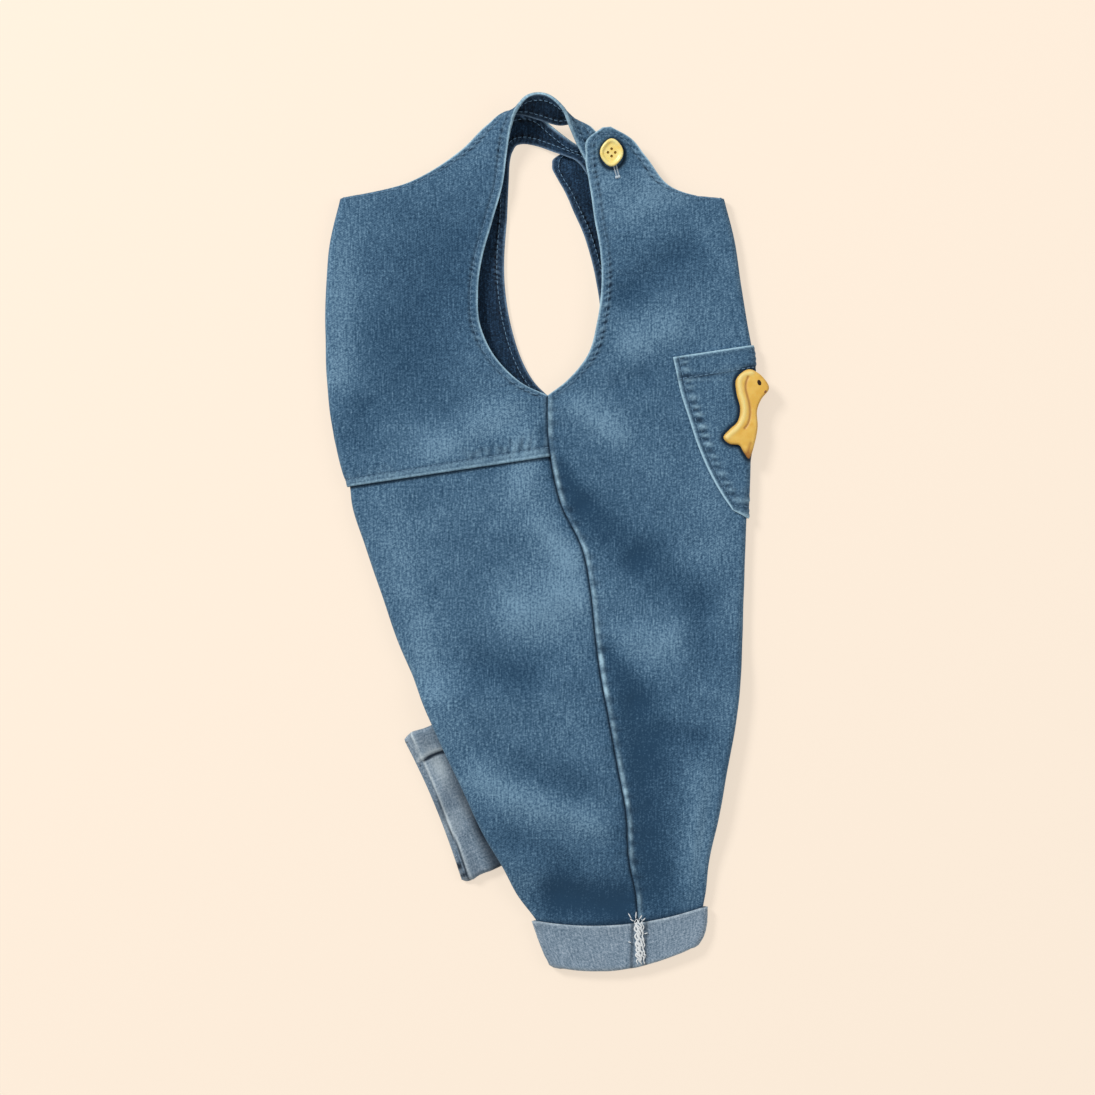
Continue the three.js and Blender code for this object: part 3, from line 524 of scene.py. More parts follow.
def stitched(surface):
    """Height that hems and seams add to the outer face, in millimetres."""
    f = surface.f
    hem, free, seam = f["hem"], f["free"], f["seam"]
    lift = -0.32 * near_to(free, HEM_WIDTH, 1.0) + 0.25 * near_to(free, 2.4, 1.5)
    drawn = 0.5 * hem_wave(surface) * hem_force(surface) * near_to(free, HEM_WIDTH, 2.9)
    tail = 0.22 * puckers(f["v"], f["seed"] + 2, 11) * near_to(free, 12, 8)
    height = hem * (lift + drawn + tail)
    uneven = 0.6 + 0.4 * smooth_noise(f["v"] / 7, f["v"] / 15, 3.0)
    ridge = near_to(seam, 1.6, 1.7) * f["upper"] * uneven
    dip = near_to(seam, 5.2, 2.0) * f["upper"]
    draw = near_to(seam, 0, 8)
    height += (1 - hem) * (0.75 * ridge - 0.3 * dip + 0.42 * draw * puckers(f["v"], 5.0, 10))
    height -= (1 - hem) * (1 - f["upper"]) * 0.5 * near_to(seam, 0, 1.6)
    height += 0.12 * smooth_noise(surface.p[:, 0] / 8, surface.p[:, 1] / 8, 1.0)
    return height


def linear(colour):
    """An sRGB hex colour as the linear colour that a shader takes."""
    parts = [int(colour[i:i + 2], 16) / 255 for i in (1, 3, 5)]
    return (*[c / 12.92 if c <= 0.04045 else ((c + 0.055) / 1.055) ** 2.4 for c in parts], 1.0)


def add(tree, kind, settings=None, links=None):
    """One shader node, with its settings, its values and what feeds it."""
    node = tree.nodes.new(kind)
    for name, value in (settings or {}).items():
        setattr(node, name, value)
    for name, value in (links or {}).items():
        if isinstance(value, bpy.types.NodeSocket):
            tree.links.new(value, node.inputs[name])
        else:
            node.inputs[name].default_value = value
    return node


def new_material(name, colour):
    """An empty node material, its tree and its output."""
    material = bpy.data.materials.new(name)
    material.diffuse_color = linear(colour)
    material.use_nodes = True
    tree = material.node_tree
    tree.nodes.clear()
    out = add(tree, "ShaderNodeOutputMaterial")
    return material, tree, out


def denim(name, deep, dark, mid, light, worn_and_lit, sheen, weave_depth):
    """Washed cotton denim: a fine slanting twill, long pale slubs, and a cloudy wash.
    Too fine to show as they are, the twill is 1.3 mm from line to line, not 0.7 mm, slubs are
    1.1 mm wide and 11 mm long, and the yarns' grain is 1.6 mm. Clouds are about 33 mm.
    Point attributes paint on it the folds' light and shade with the wash's paling, highlights with
    rubbed edges, and shade in grooves and under edges."""
    material, tree, out = new_material(name, mid)
    place = add(tree, "ShaderNodeUVMap", {"uv_map": "cloth"}).outputs[0]
    slub_place = add(tree, "ShaderNodeMapping", {}, {"Vector": place, "Scale": (0.95, 0.09, 1)})
    slub = add(tree, "ShaderNodeTexNoise", {}, {
        "Vector": slub_place.outputs[0], "Scale": 1000.0, "Detail": 2.0, "Roughness": 0.6})
    grain = add(tree, "ShaderNodeTexNoise", {}, {
        "Vector": place, "Scale": 640.0, "Detail": 3.0, "Roughness": 0.75})
    cloud = add(tree, "ShaderNodeTexNoise", {}, {
        "Vector": place, "Scale": 30.0, "Detail": 3.0, "Roughness": 0.55})
    twill_place = add(tree, "ShaderNodeMapping", {}, {
        "Vector": place, "Rotation": (0, 0, math.radians(58))})
    twill = add(tree, "ShaderNodeTexWave", {"wave_type": "BANDS", "bands_direction": "X"}, {
        "Vector": twill_place.outputs[0], "Scale": 245.0, "Distortion": 0.8,
        "Detail": 1.0, "Detail Scale": 2.0})
    slubbed = add(tree, "ShaderNodeMath", {"operation": "MULTIPLY_ADD"}, {
        0: slub.outputs[0], 1: 0.4, 2: -0.29})
    grained = add(tree, "ShaderNodeMath", {"operation": "MULTIPLY_ADD"}, {
        0: grain.outputs[0], 1: 0.95, 2: slubbed.outputs[0]})
    clouded = add(tree, "ShaderNodeMath", {"operation": "MULTIPLY_ADD"}, {
        0: cloud.outputs[0], 1: 0.2, 2: grained.outputs[0]})
    twilled = add(tree, "ShaderNodeMath", {"operation": "MULTIPLY_ADD"}, {
        0: twill.outputs[1], 1: 0.05, 2: clouded.outputs[0]})
    # Painted light and shade of the folds, with the wash's paling, from a point attribute
    wash_and_fold_shading = add(tree, "ShaderNodeAttribute", {"attribute_name": "wash_and_fold_shading"})
    shaded_and_washed = add(tree, "ShaderNodeMath", {"operation": "MULTIPLY_ADD"}, {
        0: wash_and_fold_shading.outputs["Fac"], 1: 0.22, 2: twilled.outputs[0]})
    ramp = add(tree, "ShaderNodeValToRGB", {}, {0: shaded_and_washed.outputs[0]})
    stops = ramp.color_ramp.elements
    stops[0].position, stops[0].color = 0.32, linear(dark)
    stops[1].position, stops[1].color = 0.74, linear(light)
    stops.new(0.52).color = linear(mid)
    # Paler where rubbed, and painted highlight, from a point attribute
    wear_and_highlight = add(tree, "ShaderNodeAttribute", {"attribute_name": "wear_and_highlight"})
    broken = add(tree, "ShaderNodeMath", {"operation": "MULTIPLY"}, {
        0: wear_and_highlight.outputs["Fac"], 1: grain.outputs[0]})
    much = add(tree, "ShaderNodeMath", {"operation": "MULTIPLY", "use_clamp": True}, {
        0: broken.outputs[0], 1: 1.9})
    rubbed_and_lit = add(tree, "ShaderNodeMix", {"data_type": "RGBA"}, {
        0: much.outputs[0], 6: ramp.outputs[0], 7: linear(worn_and_lit)})
    shade = add(tree, "ShaderNodeAttribute", {"attribute_name": "shade"})
    grooved = add(tree, "ShaderNodeMix", {"data_type": "RGBA"}, {
        0: shade.outputs["Fac"], 6: rubbed_and_lit.outputs[2], 7: linear(deep)})
    bump = add(tree, "ShaderNodeBump", {}, {
        "Height": twilled.outputs[0], "Strength": 0.55, "Distance": weave_depth * MM})
    surface = add(tree, "ShaderNodeBsdfPrincipled", {}, {
        "Base Color": grooved.outputs[2], "Roughness": 0.88, "Specular IOR Level": 0.22,
        "Sheen Weight": sheen, "Sheen Roughness": 0.6, "Sheen Tint": linear(worn_and_lit),
        "Normal": bump.outputs[0]})
    tree.links.new(surface.outputs[0], out.inputs[0])
    return material


def moulded(name, colour, pale, gloss, clear, patch):
    """Moulded resin or rubber: an even colour with a slow paler cloud, and a soft shine."""
    material, tree, out = new_material(name, colour)
    place = add(tree, "ShaderNodeTexCoord").outputs["Object"]
    cloud = add(tree, "ShaderNodeTexNoise", {}, {
        "Vector": place, "Scale": patch, "Detail": 3.0, "Roughness": 0.6})
    ramp = add(tree, "ShaderNodeValToRGB", {}, {0: cloud.outputs[0]})
    stops = ramp.color_ramp.elements
    stops[0].position, stops[0].color = 0.38, linear(colour)
    stops[1].position, stops[1].color = 0.66, linear(pale)
    # On the badge, point attributes paint a highlight and shade
    lit = add(tree, "ShaderNodeAttribute", {"attribute_name": "wear_and_highlight"})
    light = add(tree, "ShaderNodeMix", {"data_type": "RGBA"}, {
        0: lit.outputs["Fac"], 6: ramp.outputs[0], 7: linear("#f7e08f")})
    deep = add(tree, "ShaderNodeAttribute", {"attribute_name": "shade"})
    dusky = add(tree, "ShaderNodeMix", {"data_type": "RGBA"}, {
        0: deep.outputs["Fac"], 6: light.outputs[2], 7: linear("#a8712e")})
    surface = add(tree, "ShaderNodeBsdfPrincipled", {}, {
        "Base Color": dusky.outputs[2], "Roughness": gloss, "Specular IOR Level": 0.5,
        "Coat Weight": clear, "Coat Roughness": 0.15, "Subsurface Weight": 0.08,
        "Subsurface Radius": (0.002, 0.0014, 0.0006)})
    tree.links.new(surface.outputs[0], out.inputs[0])
    return material


def plain(name, colour, roughness, glow=None):
    """An even colour: enamel paint, cotton thread, or the paper floor, which glows a little."""
    material, tree, out = new_material(name, colour)
    surface = add(tree, "ShaderNodeBsdfPrincipled", {}, {
        "Base Color": linear(colour), "Roughness": roughness, "Specular IOR Level": 0.3})
    if glow:
        surface.inputs["Emission Color"].default_value = linear(glow)
        surface.inputs["Emission Strength"].default_value = 1.0
    tree.links.new(surface.outputs[0], out.inputs[0])
    return material


DENIM_FACE = denim("denim_washed_face", "#0e263c", "#1e405d", "#446785", "#7b9fba", "#a8cde2",
                   0.15, 0.35)
# The inner faces are dark as painted shade inside the garment; the wrong side of real denim is
# paler
DENIM_INSIDE_SHADED = denim("denim_inside_painted_dark", "#040a14", "#061524", "#142d45", "#39597a", "#6f8aa6",
                     0.03, 0.3)
DENIM_BACK = denim("denim_wrong_side", "#1b2938", "#526a7e", "#8297ab", "#b3c3d3", "#d4e4ee",
                   0.15, 0.45)
BUTTON_YELLOW = moulded("resin_button_yellow", "#ffe282", "#fff0a4", 0.36, 0.2, 160)
BADGE_YELLOW = moulded("rubber_moulded_yellow", "#e6b54c", "#f2c864", 0.5, 0.05, 110)
PAINT_DARK = plain("paint_dark_brown", "#2c1608", 0.4)
PAINT_BROWN = plain("paint_brown", "#8a5a34", 0.5)
THREAD_BROWN = plain("thread_brown", "#8f6a1e", 0.8)
THREAD_BLUE = plain("thread_blue", "#6f92b0", 0.8)
THREAD_PALE = plain("thread_pale", "#c3d2de", 0.8)
THREAD_WHITE = plain("thread_white", "#e6ebee", 0.85)


def make_object(name, points, faces, material):
    """An object from points in the drawing's millimetres, none of them below the floor."""
    points = np.array(points, float)
    points[:, 2] = np.maximum(points[:, 2], 0)
    mesh = bpy.data.meshes.new(name)
    mesh.from_pydata(((points + SHIFT) * MM).tolist(), [], faces)
    mesh.materials.append(material)
    mesh.polygons.foreach_set("use_smooth", np.full(len(mesh.polygons), True))
    mesh.update()
    thing = bpy.data.objects.new(name, mesh)
    bpy.context.scene.collection.objects.link(thing)
    return thing


def cloth(name, surface, outer, inner, wear_and_highlight=None, shade=None, lift=None):
    """A closed thin wall of cloth on a surface: outer face, inner face and rims."""
    surface.weld()
    normals = surface.normals()
    height = stitched(surface) if lift is None else lift(surface)
    face = surface.p + normals * (WALL / 2 + height)[:, None]
    thick = WALL / 2 + HEM_EXTRA * surface.f["hem"] * (surface.f["free"] < HEM_WIDTH + 0.5)
    back = surface.p - normals * (thick - height * 0.7)[:, None]
    count = len(face)
    rim = surface.rim()
    sides = np.column_stack([rim[:, 1], rim[:, 0], rim[:, 0] + count, rim[:, 1] + count])
    faces = surface.quads.tolist() + surface.tris.tolist()
    inside_from = len(faces)
    faces += (surface.quads[:, ::-1] + count).tolist() + (surface.tris[:, ::-1] + count).tolist()
    rim_from = len(faces)
    faces += sides.tolist()
    thing = make_object(name, np.concatenate([face, back]), faces, outer)
    mesh = thing.data
    mesh.materials.append(inner)
    which = np.zeros(len(faces), np.int32)
    which[inside_from:rim_from] = 1
    mesh.polygons.foreach_set("material_index", which)
    corner = np.zeros(len(mesh.loops), np.int32)
    mesh.loops.foreach_get("vertex_index", corner)
    u = np.tile(surface.f["grainX"], 2)[corner]
    v = np.tile(surface.f["grainY"], 2)[corner]
    layer = mesh.uv_layers.new(name="cloth")
    layer.data.foreach_set("uv", np.column_stack([u, v]).ravel() * MM)
    # Point attributes: rubbed edges with painted highlight, painted shade, and the folds' painted
    # light and shade with the wash
    for key, rule, low in (("wear_and_highlight", wear_and_highlight, 0), ("shade", shade, 0),
                           ("wash_and_fold_shading", lambda s: s.f["tone"], -1.3)):
        values = np.zeros(count) if rule is None else np.clip(rule(surface), low, 1.3)
        attribute = mesh.attributes.new(key, "FLOAT", "POINT")
        attribute.data.foreach_set("value", np.tile(values, 2).astype(np.float32))
    surface.face, surface.back, surface.normal = face, back, normals
    return thing


def worn_and_lit(surface, at_edge=1.1, at_row=0.6, at_seam=0.0):
    """Paler cloth where hems, seams and folds have rubbed, and painted highlight on the crests of
    hem puckers and on the ridges beside seams.
    """
    f, p = surface.f, surface.p
    uneven = 0.75 + 0.25 * smooth_noise(p[:, 0] / 5, p[:, 1] / 5, 4.0)
    light = np.clip(hem_wave(surface), 0, 1) * hem_force(surface)
    value = f["hem"] * at_edge * near_to(f["free"], 0.3, 0.9)
    value += f["hem"] * at_row * light * near_to(f["free"], 4.4, 2.2)
    patch = np.clip(0.6 + 0.7 * smooth_noise(f["v"] / 10, f["v"] / 23, 6.0), 0.1, 1)
    ridge = patch * (0.6 + 0.4 * puckers(f["v"], 5.0, 10))
    value += (1 - f["hem"]) * at_seam * ridge * near_to(f["seam"], 1.7, 1.5)
    return value * uneven


def shaded(surface, at_row=0.3, at_seam=0.0):
    """Painted shade in the grooves beside stitches and seams, and in the dents between puckers."""
    f = surface.f
    dent = np.clip(-hem_wave(surface), 0, 1) * hem_force(surface)
    value = f["hem"] * at_row * near_to(f["free"], 6.1, 0.9)
    value += f["hem"] * 1.4 * dent * near_to(f["free"], 5.8, 1.8)
    value += (1 - f["hem"]) * at_seam * near_to(f["seam"], 0.2, 1.4)
    hollow = np.clip(-puckers(f["v"], 5.0, 10) - 0.1, 0, 1)
    value += (1 - f["hem"]) * f["upper"] * 0.7 * hollow * near_to(f["seam"], 4.4, 3.2)
    value += (1 - f["hem"]) * f["upper"] * 0.5 * near_to(f["seam"], 0, 0.5)
    return value


def halves(rows, prefix, columns, foot, neck_to, seed, seam_at_fold=FOLD_SEAM, upper=0.0,
           lift=None):
    """One half of a panel as a grid, from its side to the fold or to the free edge.
    The side is a hem as far as the row foot and a seam after it; the other edge is a hem
    before the row neck_to and a fold after it."""
    count = len(rows["run"])
    points = np.zeros((count, columns, 3))
    facts = {k: np.full((count, columns), 99.0) for k in ("seam", "free")}
    facts.update({k: np.zeros((count, columns)) for k in ("u", "v", "hem", "grainX", "grainY")})
    for i in range(count):
        row = row_of(rows, i)
        names = ("sideX", "sideY", "sideZ", "edgeX", "edgeY", "edgeZ")
        far = {k: row[prefix + k[0].upper() + k[1:] if prefix else k] for k in names}
        if row["mark"] > foot:
            far["sideX"] = float(np.interp(-far["sideY"], -SEAM_Y, SEAM_X))
        other = row["farEdgeZ"] if prefix == "" else row["edgeZ"]
        at_side = 0.15 if row["mark"] > foot and prefix else 0.0
        at_fold = seam_at_fold * row["curl"]
        points[i], from_side, from_edge = half_section(
            row, far, other, columns, at_side, at_fold)
        radius = abs(far["edgeZ"] - other) / 2
        quarter = math.pi * radius / 2
        bend = np.clip(quarter - from_edge, 0, quarter)
        past = (bend - radius * np.sin(bend / radius)) * min(max(row["curl"], 0), 1)
        facts["grainX"][i] = points[i][:, 0] + past * np.sign(far["edgeX"] - far["sideX"])
        facts["grainY"][i] = points[i][:, 1]
        facts["u"][i], facts["v"][i] = from_side, row["run"]
        free = facts["free"][i]
        if row["mark"] <= foot:
            facts["hem"][i] = 1.0
            free = np.minimum(free, from_side)
        else:
            facts["seam"][i] = from_side
        if row["mark"] < neck_to:
            free = np.minimum(free, from_edge)
        if neck_to > 0:
            free = np.minimum(free, row["run"] + (0.6 if row["mark"] < 3 else 90))
        facts["free"][i] = free
    facts.update({"upper": upper, "seed": seed})
    if prefix == "":
        # Painted light and shade along the folds, partly the wash's own paling and darkening
        tone = relief(points[..., 0], points[..., 1], CREASES, "tone", 1.3)
        facts["tone"] = tone * (0.7 + 0.3 * ease(facts["u"] / 9))
    if lift is not None:
        points = lift(points)
    return points, facts


def merged(near, far):
    """The near and the far half of the same sections in one table."""
    both = dict(near)
    for name, values in far.items():
        both["far" + name[0].upper() + name[1:]] = values
    return both


SEAM_SPLINE = spline({k: np.concatenate([FRONT_NEAR[k][11:], LEG[k][1:]])
                      for k in ("sideX", "sideY")}, 2.0)
SEAM_X, SEAM_Y = SEAM_SPLINE["sideX"], SEAM_SPLINE["sideY"]


def leg_rows(name):
    """The leg's sections with one fold under the names that a panel's sections have."""
    rows = {k: LEG[k] for k in ("sideX", "sideY", "sideZ", "seamX", "seamY", "seamZ")}
    rows["edgeX"], rows["edgeY"] = LEG[name + "X"], LEG[name + "Y"]
    rows["edgeZ"], rows["farEdgeZ"] = LEG[name + "Top"], LEG[name + "Base"]
    ones = np.ones(len(LEG["sideX"]))
    rows["curl"], rows["hem"] = ones, ones * 0
    return rows


def joined(top, leg):
    """Sections above the crotch followed by those of the leg, with one row between them."""
    return {k: np.concatenate([top.get(k, np.zeros(len(top["sideX"])))[:-1], leg[k]]) for k in leg}


def under_layer(rows, last, columns):
    """The layer of the leg tube that lies beneath, from its fold to the inseam."""
    count = len(rows["run"])
    points = np.zeros((count, columns, 3))
    for i in range(count):
        row = row_of(rows, i)
        if i == 0:
            points[i] = last[i]
            continue
        seam = np.array([row["seamX"], row["seamY"], row["seamZ"]])
        fold = {"edgeX": row["edgeX"], "edgeY": row["edgeY"], "sideX": seam[0], "sideY": seam[1]}
        length = fold_length(fold, seam, row["farEdgeZ"], row["edgeZ"]) - 0.15
        stops = np.linspace(0, length, columns + 1)[1:]
        points[i] = fold_point(fold, seam, row["farEdgeZ"], row["edgeZ"], stops)
    return points


def cut(rows, where):
    return {k: v[where] for k, v in rows.items()}


def over_pocket(points):
    """The far front lies on the pocket's far half, and its tab on a button."""
    x, y, z = points[..., 0], points[..., 1], points[..., 2]
    side = np.interp(-y, -POCKET["sideY"], POCKET["sideX"])
    outside = np.maximum(side - x, np.maximum(y - POCKET["foldY"][0], POCKET["sideY"][-1] - y))
    share = 1 - ease((outside - 12) / 12)
    z = np.maximum(z, z + (FLOOR + STEP + 0.05 - z) * share)
    away = np.hypot(x - FAR_BUTTON_AT[0], y - FAR_BUTTON_AT[1])
    share = 1 - ease((away - 15) / 12)
    z = np.maximum(z, z + (FLOOR + FAR_BUTTON_THICK + 0.6 - z) * share)
    return np.dstack([x, y, z])


def declare(thing, surface, node, also=()):
    """A cloth piece takes the place of its node and rides on the root with the pieces in also; its
    cut is measured over its surface.
    """
    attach(thing, "root")
    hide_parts(node)
    width, length = 0.0, 0.0
    for name, ids in surface.grids.items():
        p = surface.p[np.column_stack([ids, ids[:, 0]]) if name == "tube" else ids]
        width += np.linalg.norm(np.diff(p, axis=1), axis=2).sum(axis=1).max()
        length = max(length, np.linalg.norm(np.diff(p, axis=0), axis=2).sum(axis=0).max())
    area = sum(np.linalg.norm(cross, axis=1).sum() / 2 for _, cross in surface.crosses())
    for piece in also:
        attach(piece, "root")


FINE = 2.0
ACROSS = 80

# Near front: the panel above the crotch and the front of the near leg in one piece
front_top = dict(FRONT_NEAR)
front_top["farEdgeZ"] = FRONT_FAR["edgeZ"]
front_rows = spline(joined(front_top, leg_rows("front")), FINE, keep_sharp=(5, 11), fine_to=11)
front_points, front_facts = halves(front_rows, "", ACROSS, foot=11, neck_to=5, seed=1.0, upper=1.0)
near_front = Surface()
near_front.grid("top", front_points, front_facts, flip=True)
crotch = front_rows["mark"] >= 17
below = cut(front_rows, crotch)
front_under = under_layer(below, front_points[crotch][:, -1], 36)
under_facts = {"u": 140.0, "v": below["run"][:, None], "seam": 99.0, "free": 99.0, "seed": 3.0}
bridge = np.concatenate([front_points[crotch][:, -1:], front_under], axis=1)
near_front.grid("under", bridge, under_facts, flip=True)


def at_cuff(surface):
    """Shade where the leg goes into its cuff, whose edge sags in the middle."""
    x, y = surface.p[:, 0], surface.p[:, 1]
    share = np.clip((x + 11) / 121, 0, 1)
    edge = -267 + 10 * share - 28 * share * (1 - share)
    return 0.75 * near_to(y, edge, 2.6) * (surface.p[:, 2] > 4)


def front_shade(surface):
    """Painted shade in the grooves and where the leg goes into its cuff, and a painted shadow
    round the button.
    """
    x, y = surface.p[:, 0] - 0.6, surface.p[:, 1] + 0.9
    around = np.hypot((x - NEAR_BUTTON_AT[0]) / 8.2, (y - NEAR_BUTTON_AT[1]) / 9.7)
    return shaded(surface) + 1.1 * near_to(around, 1.04, 0.17) + at_cuff(surface)


front_panel = cloth(
    "near_front", near_front, DENIM_FACE, DENIM_INSIDE_SHADED, lambda s: worn_and_lit(s, at_seam=1.7),
    front_shade)

# Far front, flat on the floor under the near one
both_fronts = merged(FRONT_NEAR, FRONT_FAR)
far_rows = spline(both_fronts, FINE, keep_sharp=(5, 11), fine_to=9)
far_points, far_facts = halves(
    far_rows, "far", ACROSS, foot=11, neck_to=5, seed=2.0, lift=over_pocket)
far_front = Surface()
far_front.grid("top", far_points, far_facts)
far_panel = cloth("far_front", far_front, DENIM_FACE, DENIM_INSIDE_SHADED, worn_and_lit, shaded)

# Back bodice with both straps, folded at the centre back and open at the neck
both_backs = merged(BACK_NEAR, BACK_FAR)
back_rows = spline(both_backs, FINE * 1.2, keep_sharp=(12, 18), fine_to=20)
bodice = Surface()
for half, prefix, seed in (("near", "", 4.0), ("far", "far", 6.0)):
    points, facts = halves(
        back_rows, prefix, ACROSS - 4, foot=18, neck_to=12, seed=seed, seam_at_fold=0.0)
    bodice.grid(half, points, facts, flip=half == "far")
BODICE_HEM = back_rows["run"][-1]


def yoke(surface):
    """How far points lie above the yoke's lower edge, its puckers, and where those are strong."""
    up, along = BODICE_HEM - surface.f["v"], surface.f["u"]
    some = np.clip(0.45 + 0.8 * smooth_noise(along / 13, along / 40, 8.0), 0, 1)
    return up, puckers(along + 0.25 * np.minimum(up, 20), 2.0, 6.4), some


def bodice_lift(surface):
    """Hems and seams, and the folded lower edge with its topstitching over the yoke seam."""
    up, wave, some = yoke(surface)
    hem = 0.3 * near_to(up, 1.6, 1.2) - 0.3 * near_to(up, 5.6, 1.0)
    return stitched(surface) + hem + 0.6 * wave * some * near_to(up, 8, 5)


# Paler lines along the yoke's folded edge and its stitching, painted highlight on the crests of
# its puckers, and rubbed hems and seams
def bodice_wear_and_highlight(surface):
    up, wave, some = yoke(surface)
    broken = 0.5 + 0.5 * smooth_noise(surface.f["u"] / 3.1, up / 2, 5.0)
    edge = (0.35 + 0.35 * broken) * near_to(up, 0.8, 1.4) + 0.45 * broken * near_to(up, 4.2, 0.9)
    light = 0.5 * np.clip(wave, 0, 1) * some * near_to(up, 8, 4)
    return worn_and_lit(surface, at_seam=0.25) + edge + light


# Painted shade along the yoke's stitch rows and in the dents between its puckers, with that of
# hems and seams
def bodice_shade(surface):
    up, wave, some = yoke(surface)
    row = 0.3 * near_to(up, 2.9, 0.8) + 0.4 * near_to(up, 6, 0.8)
    dents = np.clip(-0.05 - wave, 0, 1) * some * near_to(up, 9.5, 4.5)
    return shaded(surface, at_seam=0.9) + row + dents


back_panel = cloth(
    "bodice_and_straps", bodice, DENIM_FACE, DENIM_INSIDE_SHADED, bodice_wear_and_highlight, bodice_shade, bodice_lift)

# Back of the near leg: the seat, tucked under the bodice, and the back of the leg tube
seat = dict(SEAT)
seat["farEdgeZ"] = SEAT["edgeBase"]
seat["curl"] = np.ones(len(SEAT["sideX"]))
back_leg_rows = leg_rows("back")
back_leg_rows["sideZ"] = back_leg_rows["sideZ"] - 0.4
seat_rows = spline(joined(seat, back_leg_rows), FINE)
seat_points, seat_facts = halves(seat_rows, "", ACROSS + 10, foot=-1, neck_to=0, seed=7.0)
near_back = Surface()
near_back.grid("top", seat_points, seat_facts)
crotch = seat_rows["mark"] >= 6
below = cut(seat_rows, crotch)
back_under = under_layer(below, seat_points[crotch][:, -1], 36)
bridge = np.concatenate([seat_points[crotch][:, -1:], back_under], axis=1)
near_back.grid("under", bridge, {**under_facts, "v": below["run"][:, None]})


def seat_shade(surface):
    """Painted shade under the bodice's edge, in the groove along the side seam, and where the leg
    goes into its cuff.
    """
    below = 53 + (surface.p[:, 0] - 2) * 0.15 - surface.p[:, 1]
    under = 0.9 * near_to(below, 0.4, 1.2) * (below > -3)
    return shaded(surface, at_seam=0.95) + under + at_cuff(surface)


seat_panel = cloth("near_back", near_back, DENIM_FACE, DENIM_INSIDE_SHADED, worn_and_lit, seat_shade)

# Seat of the far leg
far_seat = dict(SEAT)
far_seat.update({"farSide" + k: SEAT["side" + k] for k in "XY"})
far_seat.update({"farEdge" + k: SEAT["edge" + k] for k in "XY"})
far_seat["farSideZ"] = far_seat["farEdgeZ"] = SEAT["edgeBase"]
far_seat["curl"] = seat["curl"]
far_seat_rows = spline(far_seat, FINE * 2)
points, facts = halves(far_seat_rows, "far", 40, foot=-1, neck_to=0, seed=8.0)
far_back = Surface()
far_back.grid("top", points, facts, flip=True)
far_seat_panel = cloth("far_back", far_back, DENIM_FACE, DENIM_INSIDE_SHADED)


def flat_loop(row, count, turns):
    """A flattened tube's section: along the top, round the front fold and back beneath."""
    back = np.array([row["backX"], row["backY"]])
    front = np.array([row["frontX"], row["frontY"]])
    out = (front - back) / np.linalg.norm(front - back)
    down = np.array([out[1], -out[0]])
    radius = (row["top"] - row["base"]) / 2
    middle = (row["top"] + row["base"]) / 2
    start, stop = back + out * (radius + WALL / 2), front - out * (radius + WALL / 2)
    f = np.arange(count) / count
    turn = math.pi * np.arange(turns) / turns
    share = np.concatenate([f, np.ones(turns), 1 - f, np.zeros(turns)])
    over = np.concatenate([f * 0, np.sin(turn), f * 0, -np.sin(turn)]) * radius
    rise = np.concatenate([f * 0 + 1, np.cos(turn), f * 0 - 1, -np.cos(turn)]) * radius
    xy = start + np.outer(share, stop - start) + np.outer(over, out)
    xy = xy + np.outer(-row["bow"] * 4 * share * (1 - share), down)
    return np.column_stack([xy, middle + rise])


def tube(rows, step, count, turns, seed):
    """A flattened tube of cloth along a table's sections."""
    fine = spline(rows, step)
    loops = np.array([flat_loop(row_of(fine, i), count, turns) for i in range(len(fine["run"]))])
    around = np.linalg.norm(np.diff(loops[0], axis=0, append=loops[0][:1]), axis=1)
    u = np.concatenate([[0], np.cumsum(around)])[:-1]
    v = np.broadcast_to(fine["run"][:, None], loops.shape[:2])
    facts = {"u": u[None, :], "v": v, "seam": 99.0, "free": v, "hem": 0.0, "seed": seed,
             "grainX": u[None, :], "grainY": v}
    surface = Surface()
    surface.grid("tube", loops, facts, flip=True, closed=True)
    return surface


def near_cuff_lift(surface):
    """The raised edge waves a little, and the side seam makes a ridge across the cuff."""
    x, y, v = surface.p[:, 0], surface.p[:, 1], surface.f["v"]
    top = surface.p[:, 2] > 4.5
    seam = near_to(x - (y + 280) * 0.12, 63.5, 4.5) * top
    wave = 0.28 * smooth_noise(x / 9, y / 12, 2.0) + 0.12 * smooth_noise(x / 3.1, y / 3.4, 5.0)
    edge = 0.25 * near_to(v, 0, 1.6)
    return wave * top + edge + 0.5 * seam


def cuff_wear(surface):
    v = surface.f["v"]
    p = surface.p
    uneven = 0.6 + 0.4 * smooth_noise(p[:, 0] / 3, p[:, 1] / 3, 3.0)
    return uneven * (0.75 * near_to(v, 0, 1.3) + 0.5 * near_to(v, 30, 1.6))


def cuff_shade(surface):
    """Painted shade in the grooves on both sides of the braid, and a slow cloud of darker cloth.
    """
    x, y = surface.p[:, 0], surface.p[:, 1]
    away = np.abs(x - 62.6 - (y + 280) * 0.03)
    cloud = np.clip(smooth_noise(x / 11, y / 7, 7.0), 0, 1)
    return (0.7 * near_to(away, 4.6, 1.3) + 0.12 * cloud) * (surface.p[:, 2] > 4.5)


def far_seam(surface):
    """How far points lie across the far cuff's own seam, and whether they lie on top."""
    x, y = surface.p[:, 0], surface.p[:, 1]
    along = (x + 90) * 0.86 + (y + 160.7) * 0.51
    across = (x + 90) * -0.51 + (y + 160.7) * 0.86
    return across - 1.5 * (1 - ((along - 10) / 10) ** 2), surface.p[:, 2] > 3.4


# Small gaps in the far cuff's edge, each painted as a dark spot of shade: place and size
FAR_GAPS = table("x y size", [
    [-75.6, -203, 1.1], [-70.2, -211.4, 1.6], [-61.6, -229.5, 2.1], [-58.2, -235.4, 1.6]])


